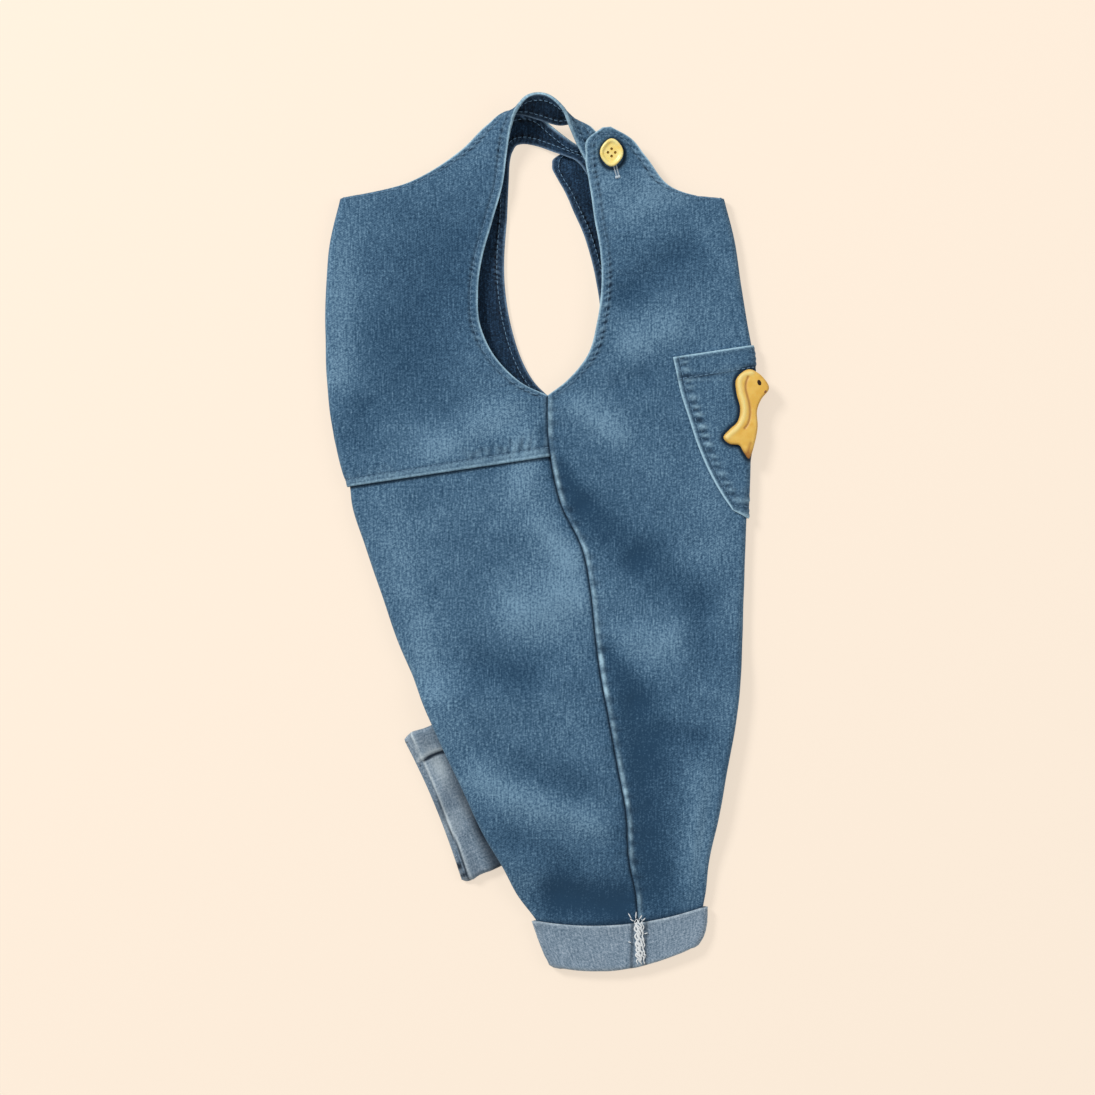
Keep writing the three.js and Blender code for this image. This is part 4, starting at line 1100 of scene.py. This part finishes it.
def from_mouth(surface):
    """How far in from the cuff's outer edge points lie, and how far in its step lies there."""
    x, y = surface.p[:, 0], surface.p[:, 1]
    inward = (x + 98.4) * 0.926 + (y + 141.2) * 0.378
    return inward, 5.2 + 0.5 * np.sin(y / 6) - 1.8 * ease((y + 160) / 14)


def far_cuff_lift(surface):
    """The edge steps down to the layer inside, the seam is a groove, and dents are soft."""
    x, y = surface.p[:, 0], surface.p[:, 1]
    across, top = far_seam(surface)
    inward, edge = from_mouth(surface)
    wave = 0.3 * smooth_noise(x / 8, y / 9, 6.0) + 0.16 * smooth_noise(x / 3, y / 3, 1.0)
    seam = 0.8 * near_to(across, 3.6, 2.4) - 1.0 * near_to(across, 0, 1.1)
    step = -2.0 * (1 - ease((inward - edge) / 1.1))
    return (wave + seam + step) * top


# Painted highlight on the far cuff's rim and on the ridge beside its seam, a paler patch near its
# top, and a paler cloud of cloth
def far_cuff_wear_and_highlight(surface):
    across, top = far_seam(surface)
    inward, edge = from_mouth(surface)
    p = surface.p
    patch = np.clip(smooth_noise(p[:, 0] / 7, p[:, 1] / 10, 2.0), 0, 1)
    high = 0.7 * near_to(inward, 14, 5) * near_to(p[:, 1], -160, 12)
    rim = 0.9 * near_to(inward, edge + 1.4, 0.8)
    return (rim + 0.7 * near_to(across, 2.6, 1.4) + high) * top + 0.3 * patch


# Painted shade: a dark line in the groove of the seam, a dark line at the step of the edge, dark
# spots in small gaps, and darker cloth under the near leg's edge; also a slow cloud of darker
# cloth, and a little darker all over
def far_cuff_shade(surface):
    across, top = far_seam(surface)
    x, y = surface.p[:, 0], surface.p[:, 1]
    inward, edge = from_mouth(surface)
    value = 1.1 * near_to(across, 0, 1.0) * top * ease((inward - 5) / 2)
    slit = ease((-175 - y) / 25) * 0.55 + 0.25
    value += slit * near_to(inward, edge - 0.5, 0.8) * top
    for i in range(len(FAR_GAPS["x"])):
        away = np.hypot((x - FAR_GAPS["x"][i]) * 1.2, (y - FAR_GAPS["y"][i]) * 0.8)
        value += 1.2 * near_to(away, 0, FAR_GAPS["size"][i])
    under_leg = (x + 68) * 0.93 + (y + 160) * 0.37
    cloud = np.clip(smooth_noise(x / 6, y / 9, 4.0), 0, 1)
    return value + 0.75 * ease((under_leg + 5) / 11) + 0.3 * cloud + 0.12


near_cuff = tube(NEAR_CUFF, step=1.5, count=90, turns=12, seed=1.0)
near_cuff_cloth = cloth(
    "near_turn_up", near_cuff, DENIM_BACK, DENIM_FACE, cuff_wear, cuff_shade, near_cuff_lift)
far_cuff = tube(FAR_CUFF, step=1.5, count=84, turns=12, seed=2.0)
far_cuff_cloth = cloth(
    "far_turn_up", far_cuff, DENIM_BACK, DENIM_FACE, far_cuff_wear_and_highlight, far_cuff_shade,
    far_cuff_lift)
far_leg = tube(FAR_LEG, step=4.0, count=50, turns=8, seed=3.0)
far_leg_cloth = cloth(
    "far_leg", far_leg, DENIM_FACE, DENIM_INSIDE_SHADED, None, None, lambda s: np.zeros(len(s.p)))


# Badge: a small long-necked animal with a raised band down its back, which is painted paler as a
# highlight
BADGE = table("x y", [
    [137, 112.5], [144.5, 110], [150.5, 103.5], [151.5, 98.5], [146.5, 92], [143.6, 84],
    [144, 73], [142, 62], [138.4, 51.5], [134.6, 55.5], [131.4, 60.4], [124.6, 61.6],
    [120.6, 66], [124.6, 71.2], [130.4, 77], [132, 86], [129.6, 96], [129.4, 106],
])
BADGE_BAND = table("x y", [
    [140, 110.2], [134.6, 109], [131.9, 105.6], [131.6, 101], [132.4, 96], [134, 91],
    [134.9, 85.5], [134.4, 80.6], [132.6, 75.8], [129.4, 71.6], [125.4, 68.4], [123.2, 65.8],
])
BADGE_GROOVE = table("x y", [
    [137.4, 107.2], [136, 103.4], [135.8, 99], [136.8, 94.6], [138.2, 89.2], [138.8, 83.4],
    [138.4, 79], [137.2, 75], [135, 72],
])
BADGE_UNDER, BADGE_THICK = 12.3, 2.6


def round_line(points, closed, per=9):
    """A smooth line through the points of a table."""
    p = np.column_stack([points["x"], points["y"]])
    if closed:
        padded = np.concatenate([p[-1:], p, p[:2]])
    else:
        padded = np.concatenate([2 * p[:1] - p[1:2], p, 2 * p[-1:] - p[-2:-1]])
    out = []
    for i in range(len(padded) - 3):
        a, b, c, d = padded[i:i + 4]
        for t in np.arange(per) / per:
            out.append(0.5 * (2 * b + (c - a) * t + (2 * a - 5 * b + 4 * c - d) * t**2
                              + (3 * b - a - 3 * c + d) * t**3))
    return np.array(out if closed else out + [p[-1]])


def distance_to(points, line, closed):
    """How far points lie from a line."""
    a = line
    b = np.roll(line, -1, axis=0) if closed else line[1:]
    a = a if closed else line[:-1]
    d = b - a
    rel = points[:, None, :] - a[None, :, :]
    t = np.clip((rel * d).sum(-1) / np.maximum((d * d).sum(-1), 1e-9), 0, 1)
    return np.linalg.norm(rel - t[..., None] * d, axis=-1).min(axis=1)


def inside(points, line):
    """Which points lie inside a closed line."""
    x, y = points[:, 0:1], points[:, 1:2]
    a, b = line, np.roll(line, -1, axis=0)
    spans = (a[:, 1] > y) != (b[:, 1] > y)
    slope = (b[:, 0] - a[:, 0]) / np.where(b[:, 1] == a[:, 1], 1e-9, b[:, 1] - a[:, 1])
    return (spans & (x < a[:, 0] + (y - a[:, 1]) * slope)).sum(axis=1) % 2 == 1


badge_line = round_line(BADGE, True)
band_line, groove_line = round_line(BADGE_BAND, False), round_line(BADGE_GROOVE, False)


def skin(surface):
    """The outer face of a cloth as a tree that rays can be cast at."""
    faces = surface.quads.tolist() + surface.tris.tolist()
    return BVHTree.FromPolygons(surface.face.tolist(), faces)


def height_at(tree, x, y, otherwise=0.0):
    hit = tree.ray_cast(Vector((x, y, 200.0)), Vector((0, 0, -1)))[0]
    return otherwise if hit is None else hit.z


front_skin = skin(near_front)

# Kangaroo pocket: on the near front, round the centre front fold and on under the far front
pocket_rows = spline(POCKET, 1.5)
pocket_points = []
pocket_from_side = []
down_front = FRONT_NEAR["edgeY"][5:] * -1
for i in range(len(pocket_rows["run"])):
    row = row_of(pocket_rows, i)
    edge_x = float(np.interp(-row["foldY"], down_front, FRONT_NEAR["edgeX"][5:])) + STEP
    top = float(np.interp(-row["foldY"], down_front, FRONT_NEAR["edgeZ"][5:])) + STEP
    fold = {"sideX": row["sideX"], "sideY": row["sideY"], "edgeX": edge_x, "edgeY": row["foldY"]}
    near = np.array([row["sideX"], row["sideY"], top])
    far = np.array([row["sideX"], row["sideY"], FLOOR])
    quarter = math.pi * (top - FLOOR) / 4
    length = fold_length(fold, near, top, FLOOR)
    along = np.linspace(length, 0, 40)
    points = fold_point(fold, near, top, FLOOR, along)
    for k in range(len(along)):
        if along[k] > quarter:
            lying = height_at(front_skin, points[k, 0], points[k, 1], top) + GAP + WALL / 2
            near_fold = ease((along[k] - quarter) / 4)
            points[k, 2] = top + (lying - top) * near_fold
    under = fold_point(fold, far, FLOOR, top, np.linspace(0, length, 30)[1:])
    pocket_points.append(np.concatenate([points, under]))
    pocket_from_side.append(np.concatenate([length - along, np.full(29, 99.0)]))
pocket_points = np.array(pocket_points)
pocket_from_side = np.array(pocket_from_side)
pocket_end = (pocket_rows["run"][-1] - pocket_rows["run"])[:, None] + 0.1
pocket_from_side = np.where(
    pocket_from_side < 98, np.minimum(pocket_from_side, pocket_end), pocket_from_side)
from_top = np.where(
    pocket_from_side < 98, pocket_points[0, :, 1][None, :] - pocket_points[..., 1], 99)
pocket = Surface()
pocket.grid("top", pocket_points, {
    "u": pocket_points[..., 0], "v": -pocket_points[..., 1], "seam": pocket_from_side,
    "free": from_top, "hem": 0.0, "seed": 5.0}, flip=True)


def pocket_facts(surface):
    """How far points lie from the pocket's side and from its top, and the puckers there."""
    side, top = surface.f["seam"], surface.f["free"]
    wave = puckers(surface.f["v"], 1.0, 6.2)
    return side, top, wave


def pocket_lift(surface):
    side, top, wave = pocket_facts(surface)
    edge = 0.3 * near_to(side, 0.8, 0.9) - 0.32 * near_to(side, 4.4, 0.9)
    drawn = 0.55 * wave * near_to(side, 5.6, 3.2)
    hem = -0.32 * near_to(top, 15, 1.0) + 0.25 * ease((16 - top) / 2)
    small = smooth_noise(surface.p[:, 0] / 6, surface.p[:, 1] / 6, 2.0)
    return edge + drawn + hem + 0.16 * small


# Paler rubbed edges of the pocket, and painted highlight on the crests of its puckers
def pocket_wear_and_highlight(surface):
    side, top, wave = pocket_facts(surface)
    value = 1.6 * near_to(side, 0.3, 0.9) + 1.5 * near_to(top, 0.2, 0.8)
    light = np.clip(wave, 0, 1)
    return value + 0.7 * light * near_to(side, 7, 2.8) + 0.35 * light * near_to(top, 17, 3)


# Painted shade along the pocket's stitch rows, at its top hem and in the dents between its
# puckers, and a painted shadow round the badge
def pocket_shade(surface):
    side, top, wave = pocket_facts(surface)
    dent = np.clip(0.1 - wave, 0, 1)
    value = 0.4 * near_to(side, 3.0, 1.0) + 1.0 * dent * near_to(side, 6.4, 2.8)
    value += 0.5 * near_to(top, 15.4, 1.1) + 0.5 * dent * near_to(top, 14, 4)
    value += 0.25 * near_to(top, 2.6, 1.2)
    x, y = surface.p[:, 0], surface.p[:, 1]
    lain = distance_to(np.column_stack([x, y]), badge_line, True)
    return value + 1.5 * near_to(lain, 0, 2.2) * (surface.p[:, 2] > 6)


pocket_cloth = cloth(
    "pocket", pocket, DENIM_FACE, DENIM_INSIDE_SHADED, pocket_wear_and_highlight, pocket_shade, pocket_lift)


def contour(surface, values, level, inner=False):
    """Lines on a face of the cloth along which a value holds: their points and normals."""
    face_points = surface.back if inner else surface.face
    face_normals = -surface.normal if inner else surface.normal
    faces = np.concatenate([surface.quads, np.column_stack([surface.tris, surface.tris[:, :1]])])
    near = values[faces]
    crossed = faces[(near.min(axis=1) < level) & (near.max(axis=1) >= level)]
    spots, links = {}, {}
    for face in crossed.tolist():
        found = []
        for a, b in zip(face, face[1:] + face[:1]):
            if a != b and (values[a] < level) != (values[b] < level):
                key = (min(a, b), max(a, b))
                t = (level - values[key[0]]) / (values[key[1]] - values[key[0]])
                point = face_points[key[0]] * (1 - t) + face_points[key[1]] * t
                spots[key] = (point, face_normals[key[0]] * (1 - t) + face_normals[key[1]] * t)
                found.append(key)
        if len(found) == 2:
            links.setdefault(found[0], []).append(found[1])
            links.setdefault(found[1], []).append(found[0])
    lines, used = [], set()
    for start in sorted(links, key=lambda k: (len(links[k]), k)):
        if start in used:
            continue
        chain, at = [start], start
        used.add(start)
        while True:
            onward = [k for k in links[at] if k not in used]
            if not onward:
                break
            at = onward[0]
            used.add(at)
            chain.append(at)
        if len(chain) > 4:
            lines.append((
                np.array([spots[k][0] for k in chain]), np.array([spots[k][1] for k in chain])))
    return lines


STITCH_SHARES = (0.0, 0.12, 0.5, 0.88, 1.0)


def ring_faces(rings, columns, first=0):
    """Quads between rings of points that follow one another."""
    return [[first + k * columns + i, first + k * columns + (i + 1) % columns,
             first + (k + 1) * columns + (i + 1) % columns, first + (k + 1) * columns + i]
            for k in range(rings - 1) for i in range(columns)]


def bead(points, normals, width, shares=STITCH_SHARES, sides=6):
    """One stitch: a short thread with tapered ends that dive into the cloth."""
    along = np.gradient(points, axis=0)
    along /= np.maximum(np.linalg.norm(along, axis=1, keepdims=True), 1e-9)
    across = np.cross(along, normals)
    across /= np.maximum(np.linalg.norm(across, axis=1, keepdims=True), 1e-9)
    up = np.cross(across, along)
    bulge = np.sqrt(np.maximum(1 - (2 * np.array(shares) - 1) ** 4, 0.1))
    turn = 2 * math.pi * np.arange(sides) / sides
    rings = (
        points[:, None, :]
        + normals[:, None, :] * ((bulge - 0.75) * width)[:, None, None]
        + (across[:, None, :] * np.cos(turn)[None, :, None]
           + up[:, None, :] * np.sin(turn)[None, :, None]) * (bulge * width / 2)[:, None, None]
    )
    faces = ring_faces(len(points), sides)
    faces.append(list(range(sides))[::-1])
    faces.append([(len(points) - 1) * sides + i for i in range(sides)])
    return rings.reshape(-1, 3), faces


def joined_beads(name, beads, material):
    points, faces, count = [], [], 0
    for ring, sides in beads:
        points.append(ring)
        faces += [[k + count for k in face] for face in sides]
        count += len(ring)
    return make_object(name, np.concatenate(points), faces, material)


def stitch_row(lines, length=2.7, gap=0.9, width=0.5):
    """Lockstitches along lines on the cloth, all of nearly one length."""
    beads = []
    for points, normals in lines:
        run = np.concatenate([[0], np.cumsum(np.linalg.norm(np.diff(points, axis=0), axis=1))])
        count = max(1, int(run[-1] / (length + gap)))
        pitch = run[-1] / count
        for i in range(count):
            at = (i + np.array(STITCH_SHARES) * length / (length + gap) + 0.1) * pitch
            place = np.column_stack([np.interp(at, run, points[:, k]) for k in range(3)])
            lean = np.column_stack([np.interp(at, run, normals[:, k]) for k in range(3)])
            lean /= np.maximum(np.linalg.norm(lean, axis=1, keepdims=True), 1e-9)
            beads.append(bead(place, lean, width))
    return beads


def hem_lines(surface, inner=False):
    """The lines along a piece's hems that their stitches follow."""
    from_edge = np.where(surface.f["hem"] > 0, surface.f["free"], 99)
    return contour(surface, from_edge, HEM_WIDTH, inner)


def topstitching(name, lines):
    return joined_beads(name, stitch_row(lines), THREAD_BLUE)


# Topstitching: 5 mm in from every hem, over the yoke seam, and round the pocket
front_stitches = topstitching("front_stitches", hem_lines(near_front))
far_stitches = topstitching("far_front_stitches", hem_lines(far_front))
back_stitches = topstitching(
    "bodice_stitches", hem_lines(bodice) + contour(bodice, BODICE_HEM - bodice.f["v"], 5.6))
inner_stitches = topstitching(
    "inner_stitches", hem_lines(bodice, inner=True) + hem_lines(far_front, inner=True))
pocket_stitches = topstitching("pocket_stitches", contour(
    pocket, pocket.f["seam"], 4.0) + contour(pocket, pocket.f["free"], 15.0))


def on_skin(tree, x, y, lift=0.0):
    """Points that lie on a cloth's outer face below a line, with upward normals."""
    z = [height_at(tree, float(a), float(b), 8.0) + lift for a, b in zip(x, y)]
    points = np.column_stack([x, y, z])
    return points, np.tile([0.0, 0.0, 1.0], (len(points), 1))


# The near cuff shows the side seam's overlocked edge: a loose braid of pale yarn
cuff_skin = skin(near_cuff)
braid = []
down = np.linspace(0, 1, 64)
for phase, width, off, swing in ((0, 1.35, -1.2, 1.5), (math.pi, 1.25, -1.0, 1.4),
                                 (1.2, 1.5, -0.4, 1.1), (4.1, 1.4, 0.6, 1.3),
                                 (0.7, 1.0, 2.1, 0.5), (3.6, 0.9, 3.0, 0.4)):
    sway = swing * np.sin(down * 21 + phase + 0.8 * np.sin(down * 9)) + 0.3 * np.sin(down * 47)
    y = -265.2 - 31.2 * down
    x = 62.0 + (y + 265) * -0.055 + off + sway
    over = 0.35 + 0.35 * np.cos(down * 21 + phase)
    points, normals = on_skin(cuff_skin, x, y)
    points[:, 2] += over
    braid.append(bead(points, normals, width, np.linspace(0, 1, 64)))
for x, y, turn, long in ((57.5, -264.6, 2.1, 4.2), (60.4, -264.8, 1.5, 4.8),
                         (62.8, -265.2, 1.0, 3.6), (59.2, -266.4, 2.6, 3.0),
                         (65.2, -266, 0.8, 2.6), (66.4, -275, 0.3, 2.4),
                         (57.4, -281, 2.9, 2.2), (65.6, -289, -0.3, 2.4)):
    t = np.linspace(0, 1, 8)
    points = np.column_stack([
        x + t * long * math.cos(turn), y + t * long * math.sin(turn), 9.6 + 0.9 * np.sin(t * 3)])
    braid.append(bead(points, np.tile([0.0, 0.0, 1.0], (8, 1)), 0.75, t))
cuff_seam = joined_beads("cuff_seam_yarn", braid, THREAD_WHITE)

# Buttonhole: satin bars round a slit that runs down from under the button
bars = []
slit = np.array([[43.6, 261.0], [48.2, 244.4]])
axis = (slit[1] - slit[0]) / np.linalg.norm(slit[1] - slit[0])
cross = np.array([-axis[1], axis[0]])
for side in (-1, 1):
    for t in np.arange(0.5, 17.0, 0.75):
        base = slit[0] + axis * t
        line = base + np.outer(np.linspace(0.25, 1.5, 4) * side, cross)
        points, normals = on_skin(front_skin, line[:, 0], line[:, 1], 0.1)
        bars.append(bead(points, normals, 0.6, (0.0, 0.33, 0.66, 1.0)))
for t in np.arange(-1.6, 1.7, 0.55):
    line = slit[1] + axis * np.linspace(-1.2, 0.9, 4)[:, None] + cross * t
    points, normals = on_skin(front_skin, line[:, 0], line[:, 1], 0.25)
    bars.append(bead(points, normals, 0.7, (0.0, 0.33, 0.66, 1.0)))
buttonhole = joined_beads("buttonhole_thread", bars, THREAD_PALE)

# Buttons: a soft square with a raised rim, a dished face and four holes
BUTTON_WIDTH, BUTTON_HEIGHT, BUTTON_THICK = 16.0, 19.0, 3.4
HOLE_R, HOLE_PITCH = 0.95, 2.5
BUTTON_PROFILE = table("across up", [
    [0.56, 0.62], [0.62, 0.64], [0.70, 0.72], [0.76, 0.88], [0.82, 0.97], [0.88, 1.0],
    [0.93, 0.96], [0.975, 0.86], [1.0, 0.72], [1.0, 0.3], [0.97, 0.12], [0.9, 0.0],
])


def soft_square(turn):
    """How far a square with soft corners reaches, its corners up, down and to the sides."""
    power = 2.5
    c = np.abs(np.cos(turn + math.pi / 4)) ** power
    return (c + np.abs(np.sin(turn + math.pi / 4)) ** power) ** (-1 / power)


def button(name, node, place, thick, tilt, columns=72):
    """A button as rings from its dish round the rim to its flat underside."""
    turn = 2 * math.pi * np.arange(columns) / columns
    reach = soft_square(turn) / soft_square(np.zeros(1))
    ring = np.column_stack([np.cos(turn) * reach * BUTTON_WIDTH / 2,
                            np.sin(turn) * reach * BUTTON_HEIGHT / 2])
    points = [np.column_stack([ring * a, np.full(columns, u * thick)])
              for a, u in zip(BUTTON_PROFILE["across"], BUTTON_PROFILE["up"])]
    faces = [f[:1] + f[:0:-1] for f in ring_faces(len(points), columns)]
    dish, under = BUTTON_PROFILE["up"][0] * thick, 0.0
    hole_turn = 2 * math.pi * np.arange(20) / 20
    holes = []
    for i in range(4):
        centre = np.array([math.cos(math.pi * i / 2), math.sin(math.pi * i / 2)]) * HOLE_PITCH
        holes.append(centre + HOLE_R * np.column_stack([np.cos(hole_turn), np.sin(hole_turn)]))
    for height, outline, up in ((dish, points[0], True), (under, points[-1], False)):
        loops = [outline] + [np.column_stack([h, np.full(20, height)]) for h in holes]
        first = sum(len(p) for p in points)
        flat = np.concatenate(loops)
        for tri in tessellate_polygon([[Vector(p) for p in loop] for loop in loops]):
            a, b, c = (flat[k][:2] for k in tri)
            left = (b[0] - a[0]) * (c[1] - a[1]) - (b[1] - a[1]) * (c[0] - a[0])
            faces.append([first + k for k in (tri if (left > 0) == up else tri[::-1])])
        points.append(flat)
    top, low = sum(len(p) for p in points[:-2]), sum(len(p) for p in points[:-1])
    for h in range(4):
        for i in range(20):
            j = (i + 1) % 20
            a, b = columns + h * 20 + i, columns + h * 20 + j
            faces.append([top + a, low + a, low + b, top + b])
    points = np.concatenate(points)
    plug_points, plug_faces = [], []
    for h in holes:
        first = len(points) + sum(len(p) for p in plug_points)
        centre = h.mean(axis=0)
        for share, up in ((0.97, 0.05), (0.97, 0.34), (0.6, 0.42)):
            plug_points.append(np.column_stack([
                centre + (h - centre) * share, np.full(20, up * thick)]))
        plug_faces += ring_faces(3, 20, first)
        plug_faces.append([first + 40 + i for i in range(20)])
        plug_faces.append([first + i for i in range(20)][::-1])
    plug_from = len(faces)
    points = np.concatenate([points] + plug_points)
    faces += plug_faces
    if place[2] < 10:
        points[:, 1:] *= -1
        points[:, 2] += thick
    a, b = tilt
    x, y, z = points.T
    y, z = y * math.cos(a) - z * math.sin(a), y * math.sin(a) + z * math.cos(a)
    x, z = x * math.cos(b) + z * math.sin(b), -x * math.sin(b) + z * math.cos(b)
    thing = make_object(name, np.column_stack([x, y, z]) + place, faces, BUTTON_YELLOW)
    mesh = thing.data
    mesh.materials.append(THREAD_BROWN)
    which = (np.arange(len(faces)) >= plug_from).astype(np.int32)
    mesh.polygons.foreach_set("material_index", which)
    bpy.context.view_layer.objects.active = thing
    mesh.set_sharp_from_angle(angle=math.radians(42))
    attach(thing, "root")
    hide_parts(node)
    return thing


button("near_button_worn", "near_button", NEAR_BUTTON_AT, BUTTON_THICK, (0.1, 0.065))
button("far_button_worn", "far_button", (*FAR_BUTTON_AT, 0), FAR_BUTTON_THICK, (0, 0))

# The badge: its outline filled with an even net of points that are raised by its relief
pitch = 0.55
gx, gy = np.meshgrid(np.arange(119, 154, pitch), np.arange(50, 115, pitch * 0.87))
gx[::2] += pitch / 2
spots = np.column_stack([gx.ravel(), gy.ravel()])
spots = spots[inside(spots, badge_line)]
spots = spots[distance_to(spots, badge_line, True) > pitch * 0.7]
flat = np.concatenate([badge_line, spots])
loop = list(range(len(badge_line)))
verts, _, tris, *_ = delaunay_2d_cdt(
    [Vector(p) for p in flat], [(i, (i + 1) % len(loop)) for i in loop], [], 1, 1e-6)
verts = np.array([tuple(v) for v in verts])
depth = distance_to(verts, badge_line, True)
round_over = np.sqrt(np.maximum(1 - (1 - np.clip(depth / 1.7, 0, 1)) ** 2, 0))
band = near_to(distance_to(verts, band_line, False), 0, 1.5)
groove = near_to(distance_to(verts, groove_line, False), 0, 0.8)
tail_line = np.array([[139.0, 62.0], [137.6, 57.0], [137.0, 54.0]])
crease = near_to(distance_to(verts, tail_line, False), 0, 1.2)
belly = 0.35 * near_to(verts[:, 1], 68, 9) * np.clip(depth / 4, 0, 1)
rise = (BADGE_THICK - 1.25) * round_over + 0.5 * band * round_over - 0.55 * groove + belly
rise = np.clip(rise, 0, BADGE_THICK - 0.55)
top = np.column_stack([verts, BADGE_UNDER + 0.6 + rise])
low = np.column_stack([badge_line, np.full(len(badge_line), BADGE_UNDER)])
count, rim = len(top), len(badge_line)
badge_faces = [list(t) for t in tris]
badge_faces += [[count + i, count + (i + 1) % rim, (i + 1) % rim, i] for i in range(rim)]
badge_faces.append([count + i for i in range(rim)][::-1])
badge = make_object("badge", np.concatenate([top, low]), badge_faces, BADGE_YELLOW)
# A painted highlight along the raised band; painted shade in the groove, in the tail's crease,
# round the edge and on the sides, and the tail darker towards its tip
pale = np.concatenate([np.clip(band - 0.5 * groove, 0, 1), np.zeros(rim)])
tail = 0.75 * ease((60 - verts[:, 1]) / 8) + 0.25 * near_to(depth, 0, 1.3)
dusky = np.concatenate([np.clip(0.9 * groove + 0.6 * crease + tail, 0, 1), np.full(rim, 0.8)])
for key, values in (("wear_and_highlight", pale), ("shade", dusky)):
    badge.data.attributes.new(key, "FLOAT", "POINT").data.foreach_set(
        "value", values.astype(np.float32))
badge.data.set_sharp_from_angle(angle=math.radians(60))
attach(badge, "root")
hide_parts("animal_badge")


def painted_dot(name, x, y, width, height, turn, material):
    """A small domed oval on the badge, for the eye and the nostril."""
    hit = np.argmin(np.hypot(verts[:, 0] - x, verts[:, 1] - y))
    base = top[hit, 2]
    points = []
    for share, up in ((1.0, -0.25), (1.0, 0.05), (0.8, 0.2), (0.45, 0.3)):
        t = 2 * math.pi * np.arange(20) / 20
        a, b = np.cos(t) * width / 2 * share, np.sin(t) * height / 2 * share
        points.append(np.column_stack([
            x + a * math.cos(turn) - b * math.sin(turn),
            y + a * math.sin(turn) + b * math.cos(turn), np.full(20, base + up)]))
    faces = ring_faces(4, 20) + [[60 + i for i in range(20)], [i for i in range(20)][::-1]]
    dot = make_object(name, np.concatenate(points), faces, material)
    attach(dot, "root")


painted_dot("badge_eye", 145.0, 103.4, 2.6, 4.0, 0.35, PAINT_DARK)
painted_dot("badge_nostril", 149.2, 97.2, 1.5, 2.0, -0.6, PAINT_BROWN)


# The floor, the light and the camera
bpy.ops.mesh.primitive_plane_add(size=6, location=(0, 0, -0.0002))
floor = bpy.context.object
floor.name = "floor"
floor.data.materials.append(plain("paper_cream_lit", "#9a9085", 0.9, "#d8caba"))
floor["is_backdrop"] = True


def area_light(name, place, aim, size, power, colour):
    data = bpy.data.lights.new(name, "AREA")
    data.energy, data.size, data.color = power, size, colour
    lamp = bpy.data.objects.new(name, data)
    lamp.location = place
    lamp.rotation_euler = (Vector(aim) - Vector(place)).to_track_quat("-Z", "Y").to_euler()
    bpy.context.scene.collection.objects.link(lamp)


area_light("key", (-2.1, 1.9, 2.4), (0, 0, 0), 0.9, 98, (1, 0.98, 0.95))
area_light("fill", (2.4, 0.4, 2.2), (0, 0, 0), 1.6, 16, (0.95, 0.97, 1))
world = bpy.data.worlds.new("soft_room")
bpy.context.scene.world = world
world.use_nodes = True
world.node_tree.nodes["Background"].inputs[0].default_value = (1.0, 0.98, 0.95, 1)
world.node_tree.nodes["Background"].inputs[1].default_value = 0.4
bpy.context.scene.view_settings.view_transform = "Standard"

camera_data = bpy.data.cameras.new("above")
camera = bpy.data.objects.new("above", camera_data)
bpy.context.scene.collection.objects.link(camera)
CAMERA_HEIGHT, CLOTH_HEIGHT, SEEN_ACROSS = 2.0, 0.009, 0.7526
camera.location = (0.0006, -0.0092, CAMERA_HEIGHT)
camera.rotation_euler = (0, 0, 0)
camera_data.sensor_width = 36.0
camera_data.lens = camera_data.sensor_width * (CAMERA_HEIGHT - CLOTH_HEIGHT) / SEEN_ACROSS
bpy.context.scene.camera = camera

# What stands for what: each piece takes the place of its node and rides on the root
declare(front_panel, near_front, "near_front_panel",
        (front_stitches, buttonhole))
declare(far_panel, far_front, "far_front_panel",
        (far_stitches,))
declare(back_panel, bodice, "back_bodice",
        (back_stitches, inner_stitches))
declare(seat_panel, near_back, "near_back_leg")
declare(far_seat_panel, far_back, "far_back_leg")
declare(near_cuff_cloth, near_cuff, "near_cuff", (cuff_seam,))
declare(far_cuff_cloth, far_cuff, "far_cuff")
declare(far_leg_cloth, far_leg, "far_leg_layers")
declare(pocket_cloth, pocket, "kangaroo_pocket",
        (pocket_stitches,))

low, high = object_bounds()
